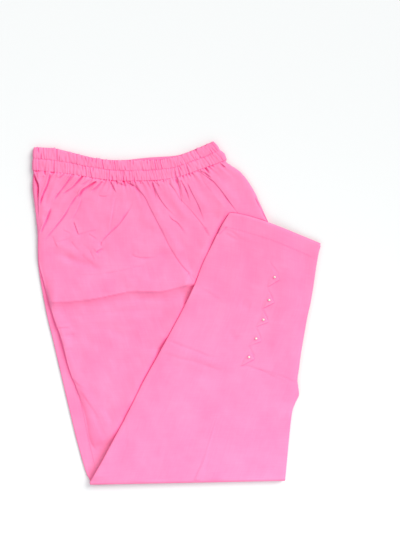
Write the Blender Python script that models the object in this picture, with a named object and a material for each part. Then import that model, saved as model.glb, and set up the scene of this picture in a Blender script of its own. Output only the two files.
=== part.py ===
"""Pull-on pyjama pants, folded and lying flat.

The two legs lie on each other with their side seams in the middle of the face, and both are turned up
together at the knee, so the lower leg ends on top. Metres, +Z up, origin under the middle of the box.
"""
import math
from collections import namedtuple

import bmesh
import bpy
from mathutils import Vector

# Driving sizes
FOLD_AXIS_Z = 0.0066         # height of the line that both legs turn round
LOWER_LEG_RADII = (0.0036, 0.0066)    # inner and outer face of the leg that wraps outside
UPPER_LEG_RADII = (0.00015, 0.0033)   # inner and outer face of the leg that lies inside
SEAM_GAP = 0.0003            # between two pieces at a seam
TURN_STEPS = 6               # facets round the knee fold
CREASE_ANGLES = (45, 0, -45)  # facets of the rounded crease at a leg's edge, degrees

# The turned-up part sinks to the surface past the body's edge
SINK_DEPTH = 0.0060
SINK_REACH = 0.045
SINK_START = 0.001           # past the body's edge
INSIDE_EXTRA_SINK = 0.0004   # keeps the inner leg's end clear of the outer one on the slope

# Cloth relief
LOFT_HEIGHT = 0.0022         # how far the gathers lift the cloth below the waistband
LOFT_REACH = 0.060
GATHER_HEIGHT = 0.0011
GATHER_REACH = 0.020
GATHERS = {"front": 11, "back": 15}   # folds below the waistband, on each panel of the upper leg
LOWER_LEG_COLUMNS = {"front": 14, "back": 12}
CREASE_FADE = 0.010          # relief dies out this far from a leg's edge
COVER_CLEARANCE = 0.008      # the body lies flat under the turned-up part and this far past it
COVER_FADE = 0.020
STRIP_EDGE_LEAN = 0.87       # turns a distance along X into one square to the turned-up part's edge
HEM_LEAN = 0.95              # turns a distance along Y into one square to the hem
SEAM_DIP = 0.0005
SEAM_DIP_WIDTH = 0.003
HEM_RISE = 0.0005            # the turned-in hem is thicker
HEM_TURNING = 0.025
HEM_SLIT_WIDTH = 0.0006      # between the two cloths of a hem
HEM_SLIT_END = 0.5           # where the slit stops, in rows back from the hem
HEM_SLIT_MARGIN = 0.002      # cloth left beside the slit, at the crease and at the seam
HEM_BOW = 0.006

# Waistband
BAND_MIDDLE_Z = 0.0043
BAND_SLIT = 0.00025          # half the slit between the two runs
BAND_WALL = 0.0036
PUCKERS = 52
PUCKER_HEIGHT = 0.0007
PUCKER_LEAN = 0.2            # share of a pitch that the two channels' puckers are out of line
PUCKER_SPREAD = 0.22         # share of a half pitch that a pucker is off its even place
BAND_BACK_RISE = 0.0028      # the back run shows above the front one in the middle
BAND_PLAIN_STATIONS = 14
BAND_END_STEPS = 6

# Beaded tabs
TAB_THICKNESS = 0.0011
TAB_BEVEL = 0.0004
TAB_LIFT = 0.0007            # how far the free corner stands off the cloth
BEAD_DIAMETER = 0.005
BEAD_SEGMENTS = 12
BEAD_RINGS = 8

# A row is a line across a leg: its two ends, the side seam's place between them, how much of the curve
# of the waist or hem it has, and the steps to the next row
Row = namedtuple("Row", "left_x left_y right_x right_y seam bow steps")

UPPER_LEG_BODY = (
    Row(-0.2226, 0.2222, 0.0766, 0.2372, 0.435, 1.00, 5),
    Row(-0.2238, 0.2060, 0.1000, 0.2200, 0.405, 0.86, 3),
    Row(-0.2233, 0.1900, 0.1178, 0.1960, 0.375, 0.70, 4),
    Row(-0.2200, 0.1600, 0.1360, 0.1600, 0.338, 0.42, 4),
    Row(-0.2163, 0.1270, 0.1490, 0.1270, 0.316, 0.20, 5),
    Row(-0.2150, 0.0840, 0.1590, 0.0880, 0.312, 0.06, 4),
    Row(-0.2076, 0.0515, 0.1660, 0.0520, 0.316, 0.00, 6),
    Row(-0.1925, -0.0030, 0.1725, 0.0000, 0.327, 0.00, 4),
    Row(-0.1800, -0.0380, 0.1740, -0.0400, 0.338, 0.00, 4),
    Row(-0.1670, -0.0870, 0.1740, -0.0900, 0.355, 0.00, 4),
    Row(-0.1500, -0.1350, 0.1730, -0.1350, 0.385, 0.00, 5),
    Row(-0.1365, -0.1980, 0.1715, -0.1950, 0.437, 0.00, 3),
    Row(-0.1248, -0.2460, 0.1700, -0.2430, 0.485, 0.00, 1),
    Row(-0.1225, -0.2605, 0.1675, -0.2546, 0.500, 0.00, 1),
)
LOWER_LEG_BODY = (
    Row(-0.2230, 0.2222, 0.0756, 0.2368, 0.435, 1.00, 1),
    Row(-0.2243, 0.2060, 0.0985, 0.2190, 0.410, 0.86, 1),
    Row(-0.2240, 0.1900, 0.1160, 0.1950, 0.390, 0.70, 1),
    Row(-0.2197, 0.1600, 0.1340, 0.1590, 0.370, 0.42, 1),
    Row(-0.2165, 0.1270, 0.1470, 0.1260, 0.360, 0.20, 1),
    Row(-0.2160, 0.0840, 0.1570, 0.0870, 0.365, 0.06, 1),
    Row(-0.2120, 0.0515, 0.1640, 0.0515, 0.375, 0.00, 1),
    Row(-0.2022, -0.0010, 0.1705, 0.0000, 0.390, 0.00, 1),
    Row(-0.1928, -0.0400, 0.1720, -0.0400, 0.405, 0.00, 1),
    Row(-0.1815, -0.0880, 0.1722, -0.0900, 0.425, 0.00, 1),
    Row(-0.1705, -0.1350, 0.1720, -0.1350, 0.450, 0.00, 1),
    Row(-0.1552, -0.1980, 0.1710, -0.1950, 0.490, 0.00, 1),
    Row(-0.1415, -0.2460, 0.1698, -0.2430, 0.535, 0.00, 1),
    Row(-0.1342, -0.2608, 0.1690, -0.2546, 0.553, 0.00, 1),
)
LOWER_LEG_TURNED_UP = (
    Row(-0.1342, -0.2608, 0.1690, -0.2546, 0.553, 0.00, 2),
    Row(-0.1170, -0.2310, 0.1715, -0.2285, 0.560, 0.00, 3),
    Row(-0.1003, -0.1998, 0.1750, -0.1910, 0.564, 0.00, 3),
    Row(-0.0803, -0.1621, 0.1794, -0.1537, 0.566, 0.00, 2),
    Row(-0.0690, -0.1400, 0.1841, -0.1396, 0.567, 0.00, 1),
    Row(-0.0620, -0.1256, 0.1903, -0.1256, 0.564, 0.00, 2),
    Row(-0.0524, -0.1064, 0.1880, -0.1037, 0.584, 0.00, 3),
    Row(-0.0400, -0.0840, 0.1908, -0.0819, 0.594, 0.00, 4),
    Row(-0.0246, -0.0566, 0.1938, -0.0596, 0.606, 0.00, 6),
    Row(0.0070, 0.0023, 0.2030, -0.0081, 0.636, 0.00, 4),
    Row(0.0273, 0.0437, 0.2085, 0.0160, 0.620, 0.00, 3),
    Row(0.0406, 0.0783, 0.2130, 0.0420, 0.592, 0.10, 3),
    Row(0.0569, 0.1111, 0.2168, 0.0680, 0.556, 0.40, 2),
    Row(0.0665, 0.1310, 0.2195, 0.0850, 0.515, 0.75, 4),
    Row(0.0815, 0.1560, 0.2242, 0.1090, 0.452, 1.00, 1),
)
UPPER_LEG_TURNED_UP = (
    Row(-0.1225, -0.2605, 0.1675, -0.2546, 0.500, 0.00, 1),
    Row(-0.0980, -0.2120, 0.1710, -0.2085, 0.500, 0.00, 1),
    Row(-0.0775, -0.1621, 0.1775, -0.1537, 0.500, 0.00, 1),
    Row(-0.0500, -0.1064, 0.1850, -0.1037, 0.500, 0.00, 1),
    Row(-0.0220, -0.0566, 0.1910, -0.0596, 0.500, 0.00, 2),
    Row(0.0096, 0.0023, 0.2004, -0.0081, 0.500, 0.00, 1),
    Row(0.0299, 0.0437, 0.2060, 0.0160, 0.500, 0.00, 1),
    Row(0.0432, 0.0783, 0.2106, 0.0420, 0.500, 0.10, 1),
    Row(0.0595, 0.1111, 0.2150, 0.0680, 0.500, 0.40, 1),
    Row(0.0695, 0.1300, 0.2190, 0.0850, 0.500, 0.75, 2),
    Row(0.0835, 0.1530, 0.2246, 0.1052, 0.500, 1.00, 1),
)

# The waistband's lower seam and top edge, at even steps along it
BandStation = namedtuple("BandStation", "seam_x seam_y top_x top_y")
WAISTBAND = (
    BandStation(-0.2203, 0.2226, -0.2190, 0.2572),
    BandStation(-0.1877, 0.2195, -0.1890, 0.2556),
    BandStation(-0.1550, 0.2154, -0.1562, 0.2490),
    BandStation(-0.1224, 0.2098, -0.1232, 0.2414),
    BandStation(-0.0898, 0.2066, -0.0908, 0.2386),
    BandStation(-0.0571, 0.2066, -0.0586, 0.2390),
    BandStation(-0.0245, 0.2080, -0.0272, 0.2398),
    BandStation(0.0081, 0.2140, 0.0018, 0.2450),
    BandStation(0.0408, 0.2254, 0.0296, 0.2546),
    BandStation(0.0734, 0.2372, 0.0560, 0.2655),
)

# Half of the waistband's section: place between seam and top edge, wall left there, share of a pucker
BandPoint = namedtuple("BandPoint", "height wall pucker")
BAND_SECTION = (
    BandPoint(0.00, 0.62, 0.30),
    BandPoint(0.12, 0.94, 0.90),
    BandPoint(0.30, 1.00, 1.00),
    BandPoint(0.44, 0.86, 0.70),
    BandPoint(0.50, 0.70, 0.15),
    BandPoint(0.56, 0.86, 0.70),
    BandPoint(0.74, 1.00, 1.00),
    BandPoint(0.92, 0.86, 0.90),
    BandPoint(1.00, 0.42, 0.60),
)

# A crease runs through three points and is a soft trough between two low shoulders
Crease = namedtuple("Crease", "start middle end depth width")
BODY_CREASES = (
    Crease((-0.086, 0.205), (-0.063, 0.197), (-0.046, 0.174), 0.0012, 0.0055),
    Crease((-0.048, 0.178), (-0.020, 0.121), (0.027, 0.057), 0.0016, 0.0065),
    Crease((-0.036, 0.204), (-0.016, 0.170), (0.014, 0.126), 0.0013, 0.0060),
    Crease((-0.013, 0.204), (0.009, 0.175), (0.058, 0.118), 0.0014, 0.0060),
    Crease((0.006, 0.211), (0.012, 0.194), (0.020, 0.180), 0.0009, 0.0045),
    Crease((0.015, 0.204), (0.030, 0.175), (0.046, 0.143), 0.0012, 0.0055),
    Crease((0.033, 0.221), (0.064, 0.199), (0.093, 0.162), 0.0013, 0.0060),
    Crease((0.071, 0.232), (0.092, 0.224), (0.112, 0.205), 0.0009, 0.0050),
    Crease((-0.214, 0.205), (-0.213, 0.175), (-0.214, 0.146), 0.0010, 0.0040),
    Crease((-0.195, 0.215), (-0.203, 0.195), (-0.210, 0.167), 0.0011, 0.0050),
    Crease((-0.164, 0.216), (-0.175, 0.201), (-0.188, 0.181), 0.0011, 0.0055),
    Crease((-0.144, 0.213), (-0.157, 0.201), (-0.170, 0.191), 0.0010, 0.0045),
    Crease((-0.116, 0.205), (-0.138, 0.196), (-0.156, 0.180), 0.0011, 0.0055),
    Crease((-0.137, 0.210), (-0.171, 0.160), (-0.204, 0.117), 0.0013, 0.0065),
    Crease((-0.200, 0.157), (-0.204, 0.141), (-0.212, 0.126), 0.0009, 0.0055),
    Crease((-0.070, 0.167), (-0.093, 0.138), (-0.117, 0.107), 0.0010, 0.0065),
    Crease((-0.138, 0.099), (-0.129, 0.084), (-0.124, 0.069), 0.0007, 0.0060),
    Crease((-0.158, 0.143), (-0.140, 0.131), (-0.124, 0.130), 0.0007, 0.0055),
    Crease((-0.182, 0.014), (-0.098, 0.029), (0.006, 0.038), 0.0016, 0.0090),
    Crease((-0.143, 0.060), (-0.092, 0.066), (-0.040, 0.077), 0.0008, 0.0080),
    Crease((-0.149, -0.115), (-0.129, -0.152), (-0.106, -0.197), 0.0010, 0.0065),
    Crease((-0.184, -0.024), (-0.172, -0.022), (-0.158, -0.024), 0.0007, 0.0055),
    Crease((-0.176, -0.040), (-0.163, -0.036), (-0.150, -0.031), 0.0007, 0.0055),
)
TURNED_UP_CREASES = (
    Crease((-0.018, -0.041), (0.080, -0.070), (0.189, -0.106), 0.0012, 0.0070),
    Crease((0.049, -0.080), (0.071, -0.087), (0.093, -0.099), 0.0007, 0.0055),
    Crease((0.065, -0.165), (0.050, -0.204), (0.036, -0.250), 0.0007, 0.0060),
    Crease((0.077, 0.128), (0.087, 0.119), (0.100, 0.110), 0.0006, 0.0050),
)
CREASE_SAMPLES = 8
CREASE_START_FADE = 0.20     # share of its length over which a crease begins
CREASE_END_FADE = 0.35       # share of its length over which it dies out

# A tab is a folded triangle: two corners on the side seam and a free one, and the bead near that one
Tab = namedtuple("Tab", "upper tip lower bead")
TABS = (
    Tab((0.1459, 0.0780), (0.1604, 0.0532), (0.1393, 0.0376), (0.1530, 0.0566)),
    Tab((0.1426, 0.0363), (0.1522, 0.0176), (0.1338, 0.0062), (0.1446, 0.0211)),
    Tab((0.1360, 0.0051), (0.1428, -0.0125), (0.1197, -0.0239), (0.1356, -0.0092)),
    Tab((0.1256, -0.0243), (0.1319, -0.0424), (0.1092, -0.0534), (0.1243, -0.0385)),
    Tab((0.1140, -0.0544), (0.1211, -0.0699), (0.0977, -0.0838), (0.1134, -0.0672)),
)

# A leg shows its outer face where it is turned up, or its inner one where it isn't
Leg = namedtuple("Leg", "body turned_up radii shows_outside")
UPPER_LEG = Leg(UPPER_LEG_BODY, UPPER_LEG_TURNED_UP, UPPER_LEG_RADII, False)
LOWER_LEG = Leg(LOWER_LEG_BODY, LOWER_LEG_TURNED_UP, LOWER_LEG_RADII, True)


def smooth_step(value):
    """Rise smoothly from 0 to 1 as value goes from 0 to 1."""
    t = min(1.0, max(0.0, value))
    return t * t * (3.0 - 2.0 * t)


def blend_rows(table, place):
    """Read a table at a place between two of its rows, on a smooth curve through all of them."""
    last = len(table) - 1
    index = min(int(place), last - 1)
    t = place - index
    before = table[max(index - 1, 0)]
    after = table[min(index + 2, last)]
    values = []
    for p0, p1, p2, p3 in zip(before, table[index], table[index + 1], after):
        curve = 2.0 * p1 + (p2 - p0) * t
        curve += (2.0 * p0 - 5.0 * p1 + 4.0 * p2 - p3) * t ** 2
        curve += (3.0 * p1 - p0 - 3.0 * p2 + p3) * t ** 3
        values.append(0.5 * curve)
    return type(table[0])(*values)


def edge_at(table, y, side):
    """X of one edge of a leg where it crosses a given Y."""
    points = [(getattr(row, side + "_y"), getattr(row, side + "_x")) for row in table]
    points.sort()
    if y <= points[0][0]:
        return points[0][1]
    for (y0, x0), (y1, x1) in zip(points, points[1:]):
        if y <= y1:
            return x0 + (x1 - x0) * (y - y0) / max(y1 - y0, 1e-9)
    return points[-1][1]


def waist_curve(across):
    """How far the waist seam bends away from a straight line between its ends."""
    place = across * (len(WAISTBAND) - 1)
    here = blend_rows(WAISTBAND, place)
    first, last = WAISTBAND[0], WAISTBAND[-1]
    straight_x = first.seam_x + (last.seam_x - first.seam_x) * across
    straight_y = first.seam_y + (last.seam_y - first.seam_y) * across
    return here.seam_x - straight_x, here.seam_y - straight_y


def hem_curve(across):
    """How far the hem bends away from a straight line between its ends."""
    return 0.0, HEM_BOW * math.sin(math.pi * max(across, 0.0) ** 0.65)


def sink(x, y):
    """How far the turned-up part has sunk past the body's right edge."""
    past_edge = x - edge_at(UPPER_LEG_BODY, y, "right") - SINK_START
    return SINK_DEPTH * smooth_step(past_edge / SINK_REACH)


def uncovered(x, y):
    """1 where the body is free, 0 where the turned-up part presses it flat."""
    hem = LOWER_LEG_TURNED_UP[-1]
    slope = (hem.right_y - hem.left_y) / (hem.right_x - hem.left_x)
    hem_y = hem.left_y + slope * (x - hem.left_x) + HEM_BOW
    beside = (edge_at(LOWER_LEG_TURNED_UP, y, "left") - x) * STRIP_EDGE_LEAN
    above = (y - hem_y) * HEM_LEAN
    return smooth_step((max(beside, above) - COVER_CLEARANCE) / COVER_FADE)


def crease_points(crease):
    """Points along the smooth curve through a crease's three points."""
    (x0, y0), (x1, y1), (x2, y2) = crease.start, crease.middle, crease.end
    points = []
    for step in range(CREASE_SAMPLES + 1):
        t = step / CREASE_SAMPLES
        a, b, c = (1 - t) * (1 - 2 * t), 4 * t * (1 - t), t * (2 * t - 1)
        points.append((a * x0 + b * x1 + c * x2, a * y0 + b * y1 + c * y2))
    return points


def crease_height(crease, points, x, y):
    """Height that one crease adds at a point: a trough between two shoulders, faded at its ends."""
    best = (1.0, 0.0)
    for step, ((x0, y0), (x1, y1)) in enumerate(zip(points, points[1:])):
        dx, dy = x1 - x0, y1 - y0
        t = ((x - x0) * dx + (y - y0) * dy) / (dx * dx + dy * dy)
        t = min(1.0, max(0.0, t))
        distance = math.hypot(x - x0 - t * dx, y - y0 - t * dy)
        best = min(best, (distance, (step + t) / CREASE_SAMPLES))
    distance, along = best
    fade = smooth_step(along / CREASE_START_FADE) * smooth_step((1.0 - along) / CREASE_END_FADE)
    spread = (distance / crease.width) ** 2
    shoulders = 0.7 * math.exp(-spread / 5.0)
    trough = 1.1 * math.exp(-spread)
    return crease.depth * fade * (shoulders - trough)


def creases_height(creases, x, y):
    """Height that all the creases of a face add at a point."""
    height = 0.0
    for crease, points in creases:
        reach = 3.5 * crease.width
        xs = [p[0] for p in points]
        ys = [p[1] for p in points]
        if min(xs) - reach < x < max(xs) + reach and min(ys) - reach < y < max(ys) + reach:
            height += crease_height(crease, points, x, y)
    return height


def section_lines(leg):
    """Lines across a leg from waist to hem: row, the curve it bends with, and its angle at the fold."""
    lines = []
    for index, row in enumerate(leg.body[:-1]):
        for step in range(row.steps):
            lines.append((blend_rows(leg.body, index + step / row.steps), waist_curve, -90.0))
    for step in range(TURN_STEPS + 1):
        lines.append((leg.body[-1], waist_curve, -90.0 + 180.0 * step / TURN_STEPS))
    for index, row in enumerate(leg.turned_up[:-1]):
        for step in range(1, row.steps + 1):
            lines.append((blend_rows(leg.turned_up, index + step / row.steps), hem_curve, 90.0))
    return lines


def plan_point(line, across):
    """Place on a line across a leg, seen from above."""
    row, curve, _ = line
    bend_x, bend_y = curve(across)
    x = row.left_x + (row.right_x - row.left_x) * across + bend_x * row.bow
    y = row.left_y + (row.right_y - row.left_y) * across + bend_y * row.bow
    return x, y


def plan_distance(line, other, across):
    """Distance between two lines across a leg, at one place across it, seen from above."""
    x, y = plan_point(line, across)
    other_x, other_y = plan_point(other, across)
    return math.hypot(other_x - x, other_y - y)


def leg_point(line, across, radius, extra_sink=0.0):
    """Point of a leg: a place across it, at a radius from the line that the legs turn round."""
    x, y = plan_point(line, across)
    angle = math.radians(line[2])
    point = Vector((x, y - radius * math.cos(angle), FOLD_AXIS_Z + radius * math.sin(angle)))
    if line[2] >= 90.0:
        depth = sink(x, y)
        point.z -= depth + extra_sink * depth / SINK_DEPTH
    return point


def seam_dip(row, across):
    """How far the cloth is drawn in along the side seam."""
    distance = abs(across - row.seam) * (row.right_x - row.left_x)
    return SEAM_DIP * math.exp(-(distance / SEAM_DIP_WIDTH) ** 2)


def edge_fade(row, across):
    """0 at a leg's edges, 1 a little way in."""
    return smooth_step(min(across, 1.0 - across) * (row.right_x - row.left_x) / CREASE_FADE)


def gather_height(column, across, waist_distance):
    """Height of the gathers: columns are in turn a fold's bottom and its top."""
    sign = 1.0 if column % 2 else -1.0
    strength = 0.65 + 0.35 * math.sin(column * 2.3 + across * 9.0)
    return sign * strength * GATHER_HEIGHT * math.exp(-waist_distance / GATHER_REACH)


def body_relief(line, across, column, waist_distance, creases):
    """Height of the cloth's form on the visible face of the upper leg."""
    x, y = plan_point(line, across)
    height = LOFT_HEIGHT * math.exp(-waist_distance / LOFT_REACH)
    height += gather_height(column, across, waist_distance)
    height += creases_height(creases, x, y)
    height -= seam_dip(line[0], across)
    return height * edge_fade(line[0], across) * uncovered(x, y)


def turned_up_relief(line, across, hem_distance, creases):
    """Height of the cloth's form on the visible face of the lower leg."""
    x, y = plan_point(line, across)
    height = creases_height(creases, x, y) - seam_dip(line[0], across)
    if hem_distance < HEM_TURNING:
        height += HEM_RISE
    return height * edge_fade(line[0], across)


def panel_columns(line, side, count):
    """Places across a leg of one panel's columns, from its crease edge to the side seam."""
    row = line[0]
    width = row.right_x - row.left_x
    gap = 0.5 * SEAM_GAP / width
    if side == "front":
        return [(row.seam - gap) * column / count for column in range(count + 1)]
    return [1.0 - (1.0 - row.seam - gap) * column / count for column in range(count + 1)]


def panel_ring(lines, index, leg, side, count, creases):
    """One closed section of a panel: outer face, seam wall, inner face, rounded crease edge."""
    line = lines[index]
    inner, outer = leg.radii
    middle = 0.5 * (inner + outer)
    nose = 0.5 * (outer - inner)
    width = line[0].right_x - line[0].left_x
    columns = panel_columns(line, side, count)
    columns[0] = nose / width if side == "front" else 1.0 - nose / width
    extra_sink = 0.0 if leg.shows_outside else INSIDE_EXTRA_SINK

    outside = [leg_point(line, across, outer, extra_sink) for across in columns]
    inside = [leg_point(line, across, inner, extra_sink) for across in columns]
    if leg.shows_outside and line[2] >= 90.0:
        for point, across in zip(outside, columns):
            point.z += turned_up_relief(line, across, plan_distance(line, lines[-1], across), creases)
    elif not leg.shows_outside and line[2] <= -90.0:
        for column, (point, across) in enumerate(zip(inside, columns)):
            distance = plan_distance(line, lines[0], across)
            point.z += body_relief(line, across, column, distance, creases)

    ring = outside + inside[::-1]
    for degrees in reversed(CREASE_ANGLES):
        angle = math.radians(degrees)
        along = (nose - nose * math.cos(angle)) / width
        across = along if side == "front" else 1.0 - along
        ring.append(leg_point(line, across, middle + nose * math.sin(angle), extra_sink))
    return ring


def slit_ring(line, leg, side, count):
    """Section of the blind slit at a hem, with as many points as a panel's section."""
    inner, outer = leg.radii
    middle = 0.5 * (inner + outer)
    margin = HEM_SLIT_MARGIN / (line[0].right_x - line[0].left_x)
    columns = panel_columns(line, side, count)
    low, high = min(columns) + margin, max(columns) - margin
    columns = [min(max(across, low), high) for across in columns]
    columns[0] = low + margin if side == "front" else high - margin
    ring = [leg_point(line, across, middle + 0.5 * HEM_SLIT_WIDTH) for across in columns]
    ring += [leg_point(line, across, middle - 0.5 * HEM_SLIT_WIDTH) for across in reversed(columns)]
    edge = low if side == "front" else high
    for degrees in reversed(CREASE_ANGLES):
        height = 0.5 * HEM_SLIT_WIDTH * math.sin(math.radians(degrees))
        ring.append(leg_point(line, edge, middle + height))
    return ring


def mesh_from_rings(name, rings, closed_loop=False):
    """Skin a list of closed rings, each with the same number of points, into one closed body."""
    bm = bmesh.new()
    loops = [[bm.verts.new(point) for point in ring] for ring in rings]
    pairs = list(zip(loops, loops[1:]))
    if closed_loop:
        pairs.append((loops[-1], loops[0]))
    count = len(loops[0])
    for one, two in pairs:
        for k in range(count):
            following = (k + 1) % count
            bm.faces.new((one[k], one[following], two[following], two[k]))
    if not closed_loop:
        bm.faces.new(loops[0])
        bm.faces.new(loops[-1])
    bmesh.ops.recalc_face_normals(bm, faces=bm.faces)
    bmesh.ops.dissolve_limit(bm, angle_limit=math.radians(0.2), verts=bm.verts, edges=bm.edges)
    bmesh.ops.triangulate(bm, faces=bm.faces)
    mesh = bpy.data.meshes.new(name)
    bm.to_mesh(mesh)
    bm.free()
    return mesh


def make_material(name, colour, roughness, metallic=0.0):
    """A plain Principled material."""
    material = bpy.data.materials.new(name)
    material.use_nodes = True
    shader = material.node_tree.nodes["Principled BSDF"]
    shader.inputs["Base Color"].default_value = (*colour, 1.0)
    shader.inputs["Roughness"].default_value = roughness
    shader.inputs["Metallic"].default_value = metallic
    return material


def add_object(name, mesh, material):
    """Put a mesh in the scene as one named piece."""
    mesh.materials.append(material)
    mesh.shade_smooth()
    mesh.set_sharp_from_angle(angle=math.radians(35))
    piece = bpy.data.objects.new(name, mesh)
    bpy.context.collection.objects.link(piece)
    return piece


def make_panel(name, leg, side, count, crease_table, material):
    """Front or back panel of one leg, from the waist seam round the knee fold to the hem."""
    lines = section_lines(leg)
    creases = [(crease, crease_points(crease)) for crease in crease_table]
    rings = [panel_ring(lines, index, leg, side, count, creases) for index in range(len(lines))]
    slit_end = blend_rows(leg.turned_up, len(leg.turned_up) - 1 - HEM_SLIT_END)
    for line in (lines[-1], (slit_end, hem_curve, 90.0)):
        rings.append(slit_ring(line, leg, side, count))
    add_object(name, mesh_from_rings(name, rings), material)


def band_point(place, height, radius, turn):
    """Point of the waistband: along it, up it, and out from the middle of its slit."""
    here = blend_rows(WAISTBAND, place)
    seam = Vector((here.seam_x, here.seam_y, BAND_MIDDLE_Z))
    top = Vector((here.top_x, here.top_y, BAND_MIDDLE_Z))
    up = (top - seam).normalized()
    side = up.cross(Vector((0.0, 0.0, 1.0)))
    angle = math.radians(turn)
    out = Vector((0.0, 0.0, 1.0)) * math.cos(angle) + side * math.sin(angle)
    return seam + (top - seam) * height + out * radius


def band_ring(place, turn, pucker, lean, rise=0.0):
    """One section of the waistband's wall: the outer face with its two channels, then the inner face."""
    plain = abs(turn) > 90.0
    ring = []
    pitch = (len(WAISTBAND) - 1) / PUCKERS
    for point in BAND_SECTION:
        wall = BAND_WALL * point.wall
        shift = lean * pitch * (1.0 if point.height > 0.5 else -1.0) * point.pucker
        if plain:
            radius = BAND_MIDDLE_Z
        else:
            radius = BAND_SLIT + wall + pucker * point.pucker * PUCKER_HEIGHT
        height = point.height * (1.0 + rise)
        last = len(WAISTBAND) - 1
        ring.append(band_point(min(max(place + shift, 0.0), last), height, radius, turn))
    for height in (1.0 + rise, 0.0):
        ring.append(band_point(place, height, BAND_SLIT, turn))
    return ring


def make_waistband(material):
    """Elastic waistband: a flattened loop of two stitched channels, puckered where it shows."""
    last = len(WAISTBAND) - 1
    rings = []
    for station in range(2 * PUCKERS + 1):
        place = last * (station + PUCKER_SPREAD * math.sin(station * 1.7)) / (2 * PUCKERS)
        place = min(max(place, 0.0), last)
        strength = 0.75 + 0.25 * math.sin(station * 2.9)
        pucker = strength if station % 2 else -strength
        if station in (0, 2 * PUCKERS):
            pucker = 0.0
        rings.append(band_ring(place, 0.0, pucker, PUCKER_LEAN * math.sin(station * 0.9)))
    for step in range(1, BAND_END_STEPS):
        rings.append(band_ring(last, 180.0 * step / BAND_END_STEPS, 0.0, 0.0))
    for station in range(BAND_PLAIN_STATIONS + 1):
        along = station / BAND_PLAIN_STATIONS
        place = last * (1.0 - along)
        bump = math.exp(-((along - 0.35) / 0.12) ** 2)
        height = (WAISTBAND[0].top_y - WAISTBAND[0].seam_y)
        rings.append(band_ring(place, 180.0, 0.0, 0.0, BAND_BACK_RISE * bump / height))
    for step in range(1, BAND_END_STEPS):
        rings.append(band_ring(0.0, 180.0 + 180.0 * step / BAND_END_STEPS, 0.0, 0.0))
    add_object("waistband", mesh_from_rings("waistband", rings, closed_loop=True), material)


def turned_up_surface(x, y):
    """Height of the turned-up part's visible face, clear of creases."""
    return FOLD_AXIS_Z + LOWER_LEG_RADII[1] - sink(x, y)


def tab_lift_at(tab, x, y):
    """How far a tab stands off the cloth at a point, from its seam side to its free corner."""
    along_x, along_y = tab.upper[0] - tab.lower[0], tab.upper[1] - tab.lower[1]
    here = along_x * (y - tab.lower[1]) - along_y * (x - tab.lower[0])
    tip = along_x * (tab.tip[1] - tab.lower[1]) - along_y * (tab.tip[0] - tab.lower[0])
    return TAB_LIFT * here / tip


def make_tab(name, tab, material):
    """Folded triangular tab, on the cloth along the seam and lifted at its free corner."""
    bm = bmesh.new()
    corners = []
    for x, y in (tab.upper, tab.tip, tab.lower):
        height = turned_up_surface(x, y) + SEAM_GAP + tab_lift_at(tab, x, y)
        corners.append(Vector((x, y, height)))
    bottom = [bm.verts.new(corner) for corner in corners]
    top = [bm.verts.new(corner + Vector((0.0, 0.0, TAB_THICKNESS))) for corner in corners]
    bm.faces.new(bottom)
    bm.faces.new(top)
    for k in range(3):
        following = (k + 1) % 3
        bm.faces.new((bottom[k], bottom[following], top[following], top[k]))
    bmesh.ops.recalc_face_normals(bm, faces=bm.faces)
    edges = [edge for edge in bm.edges if all(vert in top for vert in edge.verts)]
    bmesh.ops.bevel(bm, geom=edges, offset=TAB_BEVEL, segments=2, profile=0.5, affect="EDGES")
    mesh = bpy.data.meshes.new(name)
    bm.to_mesh(mesh)
    bm.free()
    add_object(name, mesh, material)


def make_bead(name, tab, material):
    """Round bead sewn on a tab near its free corner."""
    bm = bmesh.new()
    bmesh.ops.create_uvsphere(bm, u_segments=BEAD_SEGMENTS, v_segments=BEAD_RINGS,
                              radius=0.5 * BEAD_DIAMETER)
    mesh = bpy.data.meshes.new(name)
    bm.to_mesh(mesh)
    bm.free()
    bead = add_object(name, mesh, material)
    x, y = tab.bead
    seat = turned_up_surface(x, y) + SEAM_GAP + TAB_THICKNESS + tab_lift_at(tab, x, y)
    bead.location = (x, y, seat + SEAM_GAP + 0.5 * BEAD_DIAMETER)


def main():
    for item in list(bpy.data.objects):
        bpy.data.objects.remove(item)
    cotton = make_material("pink_cotton", (0.93, 0.27, 0.55), 0.85)
    band_cotton = make_material("pink_waistband", (0.92, 0.25, 0.53), 0.85)
    tab_cotton = make_material("pink_tab", (0.90, 0.24, 0.52), 0.80)
    pearl = make_material("pearl", (0.86, 0.84, 0.80), 0.25)
    for side in ("front", "back"):
        make_panel(f"left_leg_{side}", UPPER_LEG, side, 2 * GATHERS[side], BODY_CREASES, cotton)
        columns = LOWER_LEG_COLUMNS[side]
        make_panel(f"right_leg_{side}", LOWER_LEG, side, columns, TURNED_UP_CREASES, cotton)
    make_waistband(band_cotton)
    for number, tab in enumerate(TABS, start=1):
        make_tab(f"tab_{number}", tab, tab_cotton)
        make_bead(f"bead_{number}", tab, pearl)


main()
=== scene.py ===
"""Looks of the folded pull-on pyjama pants: cotton shells over the solids, stitching, light and camera."""
import math

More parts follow.
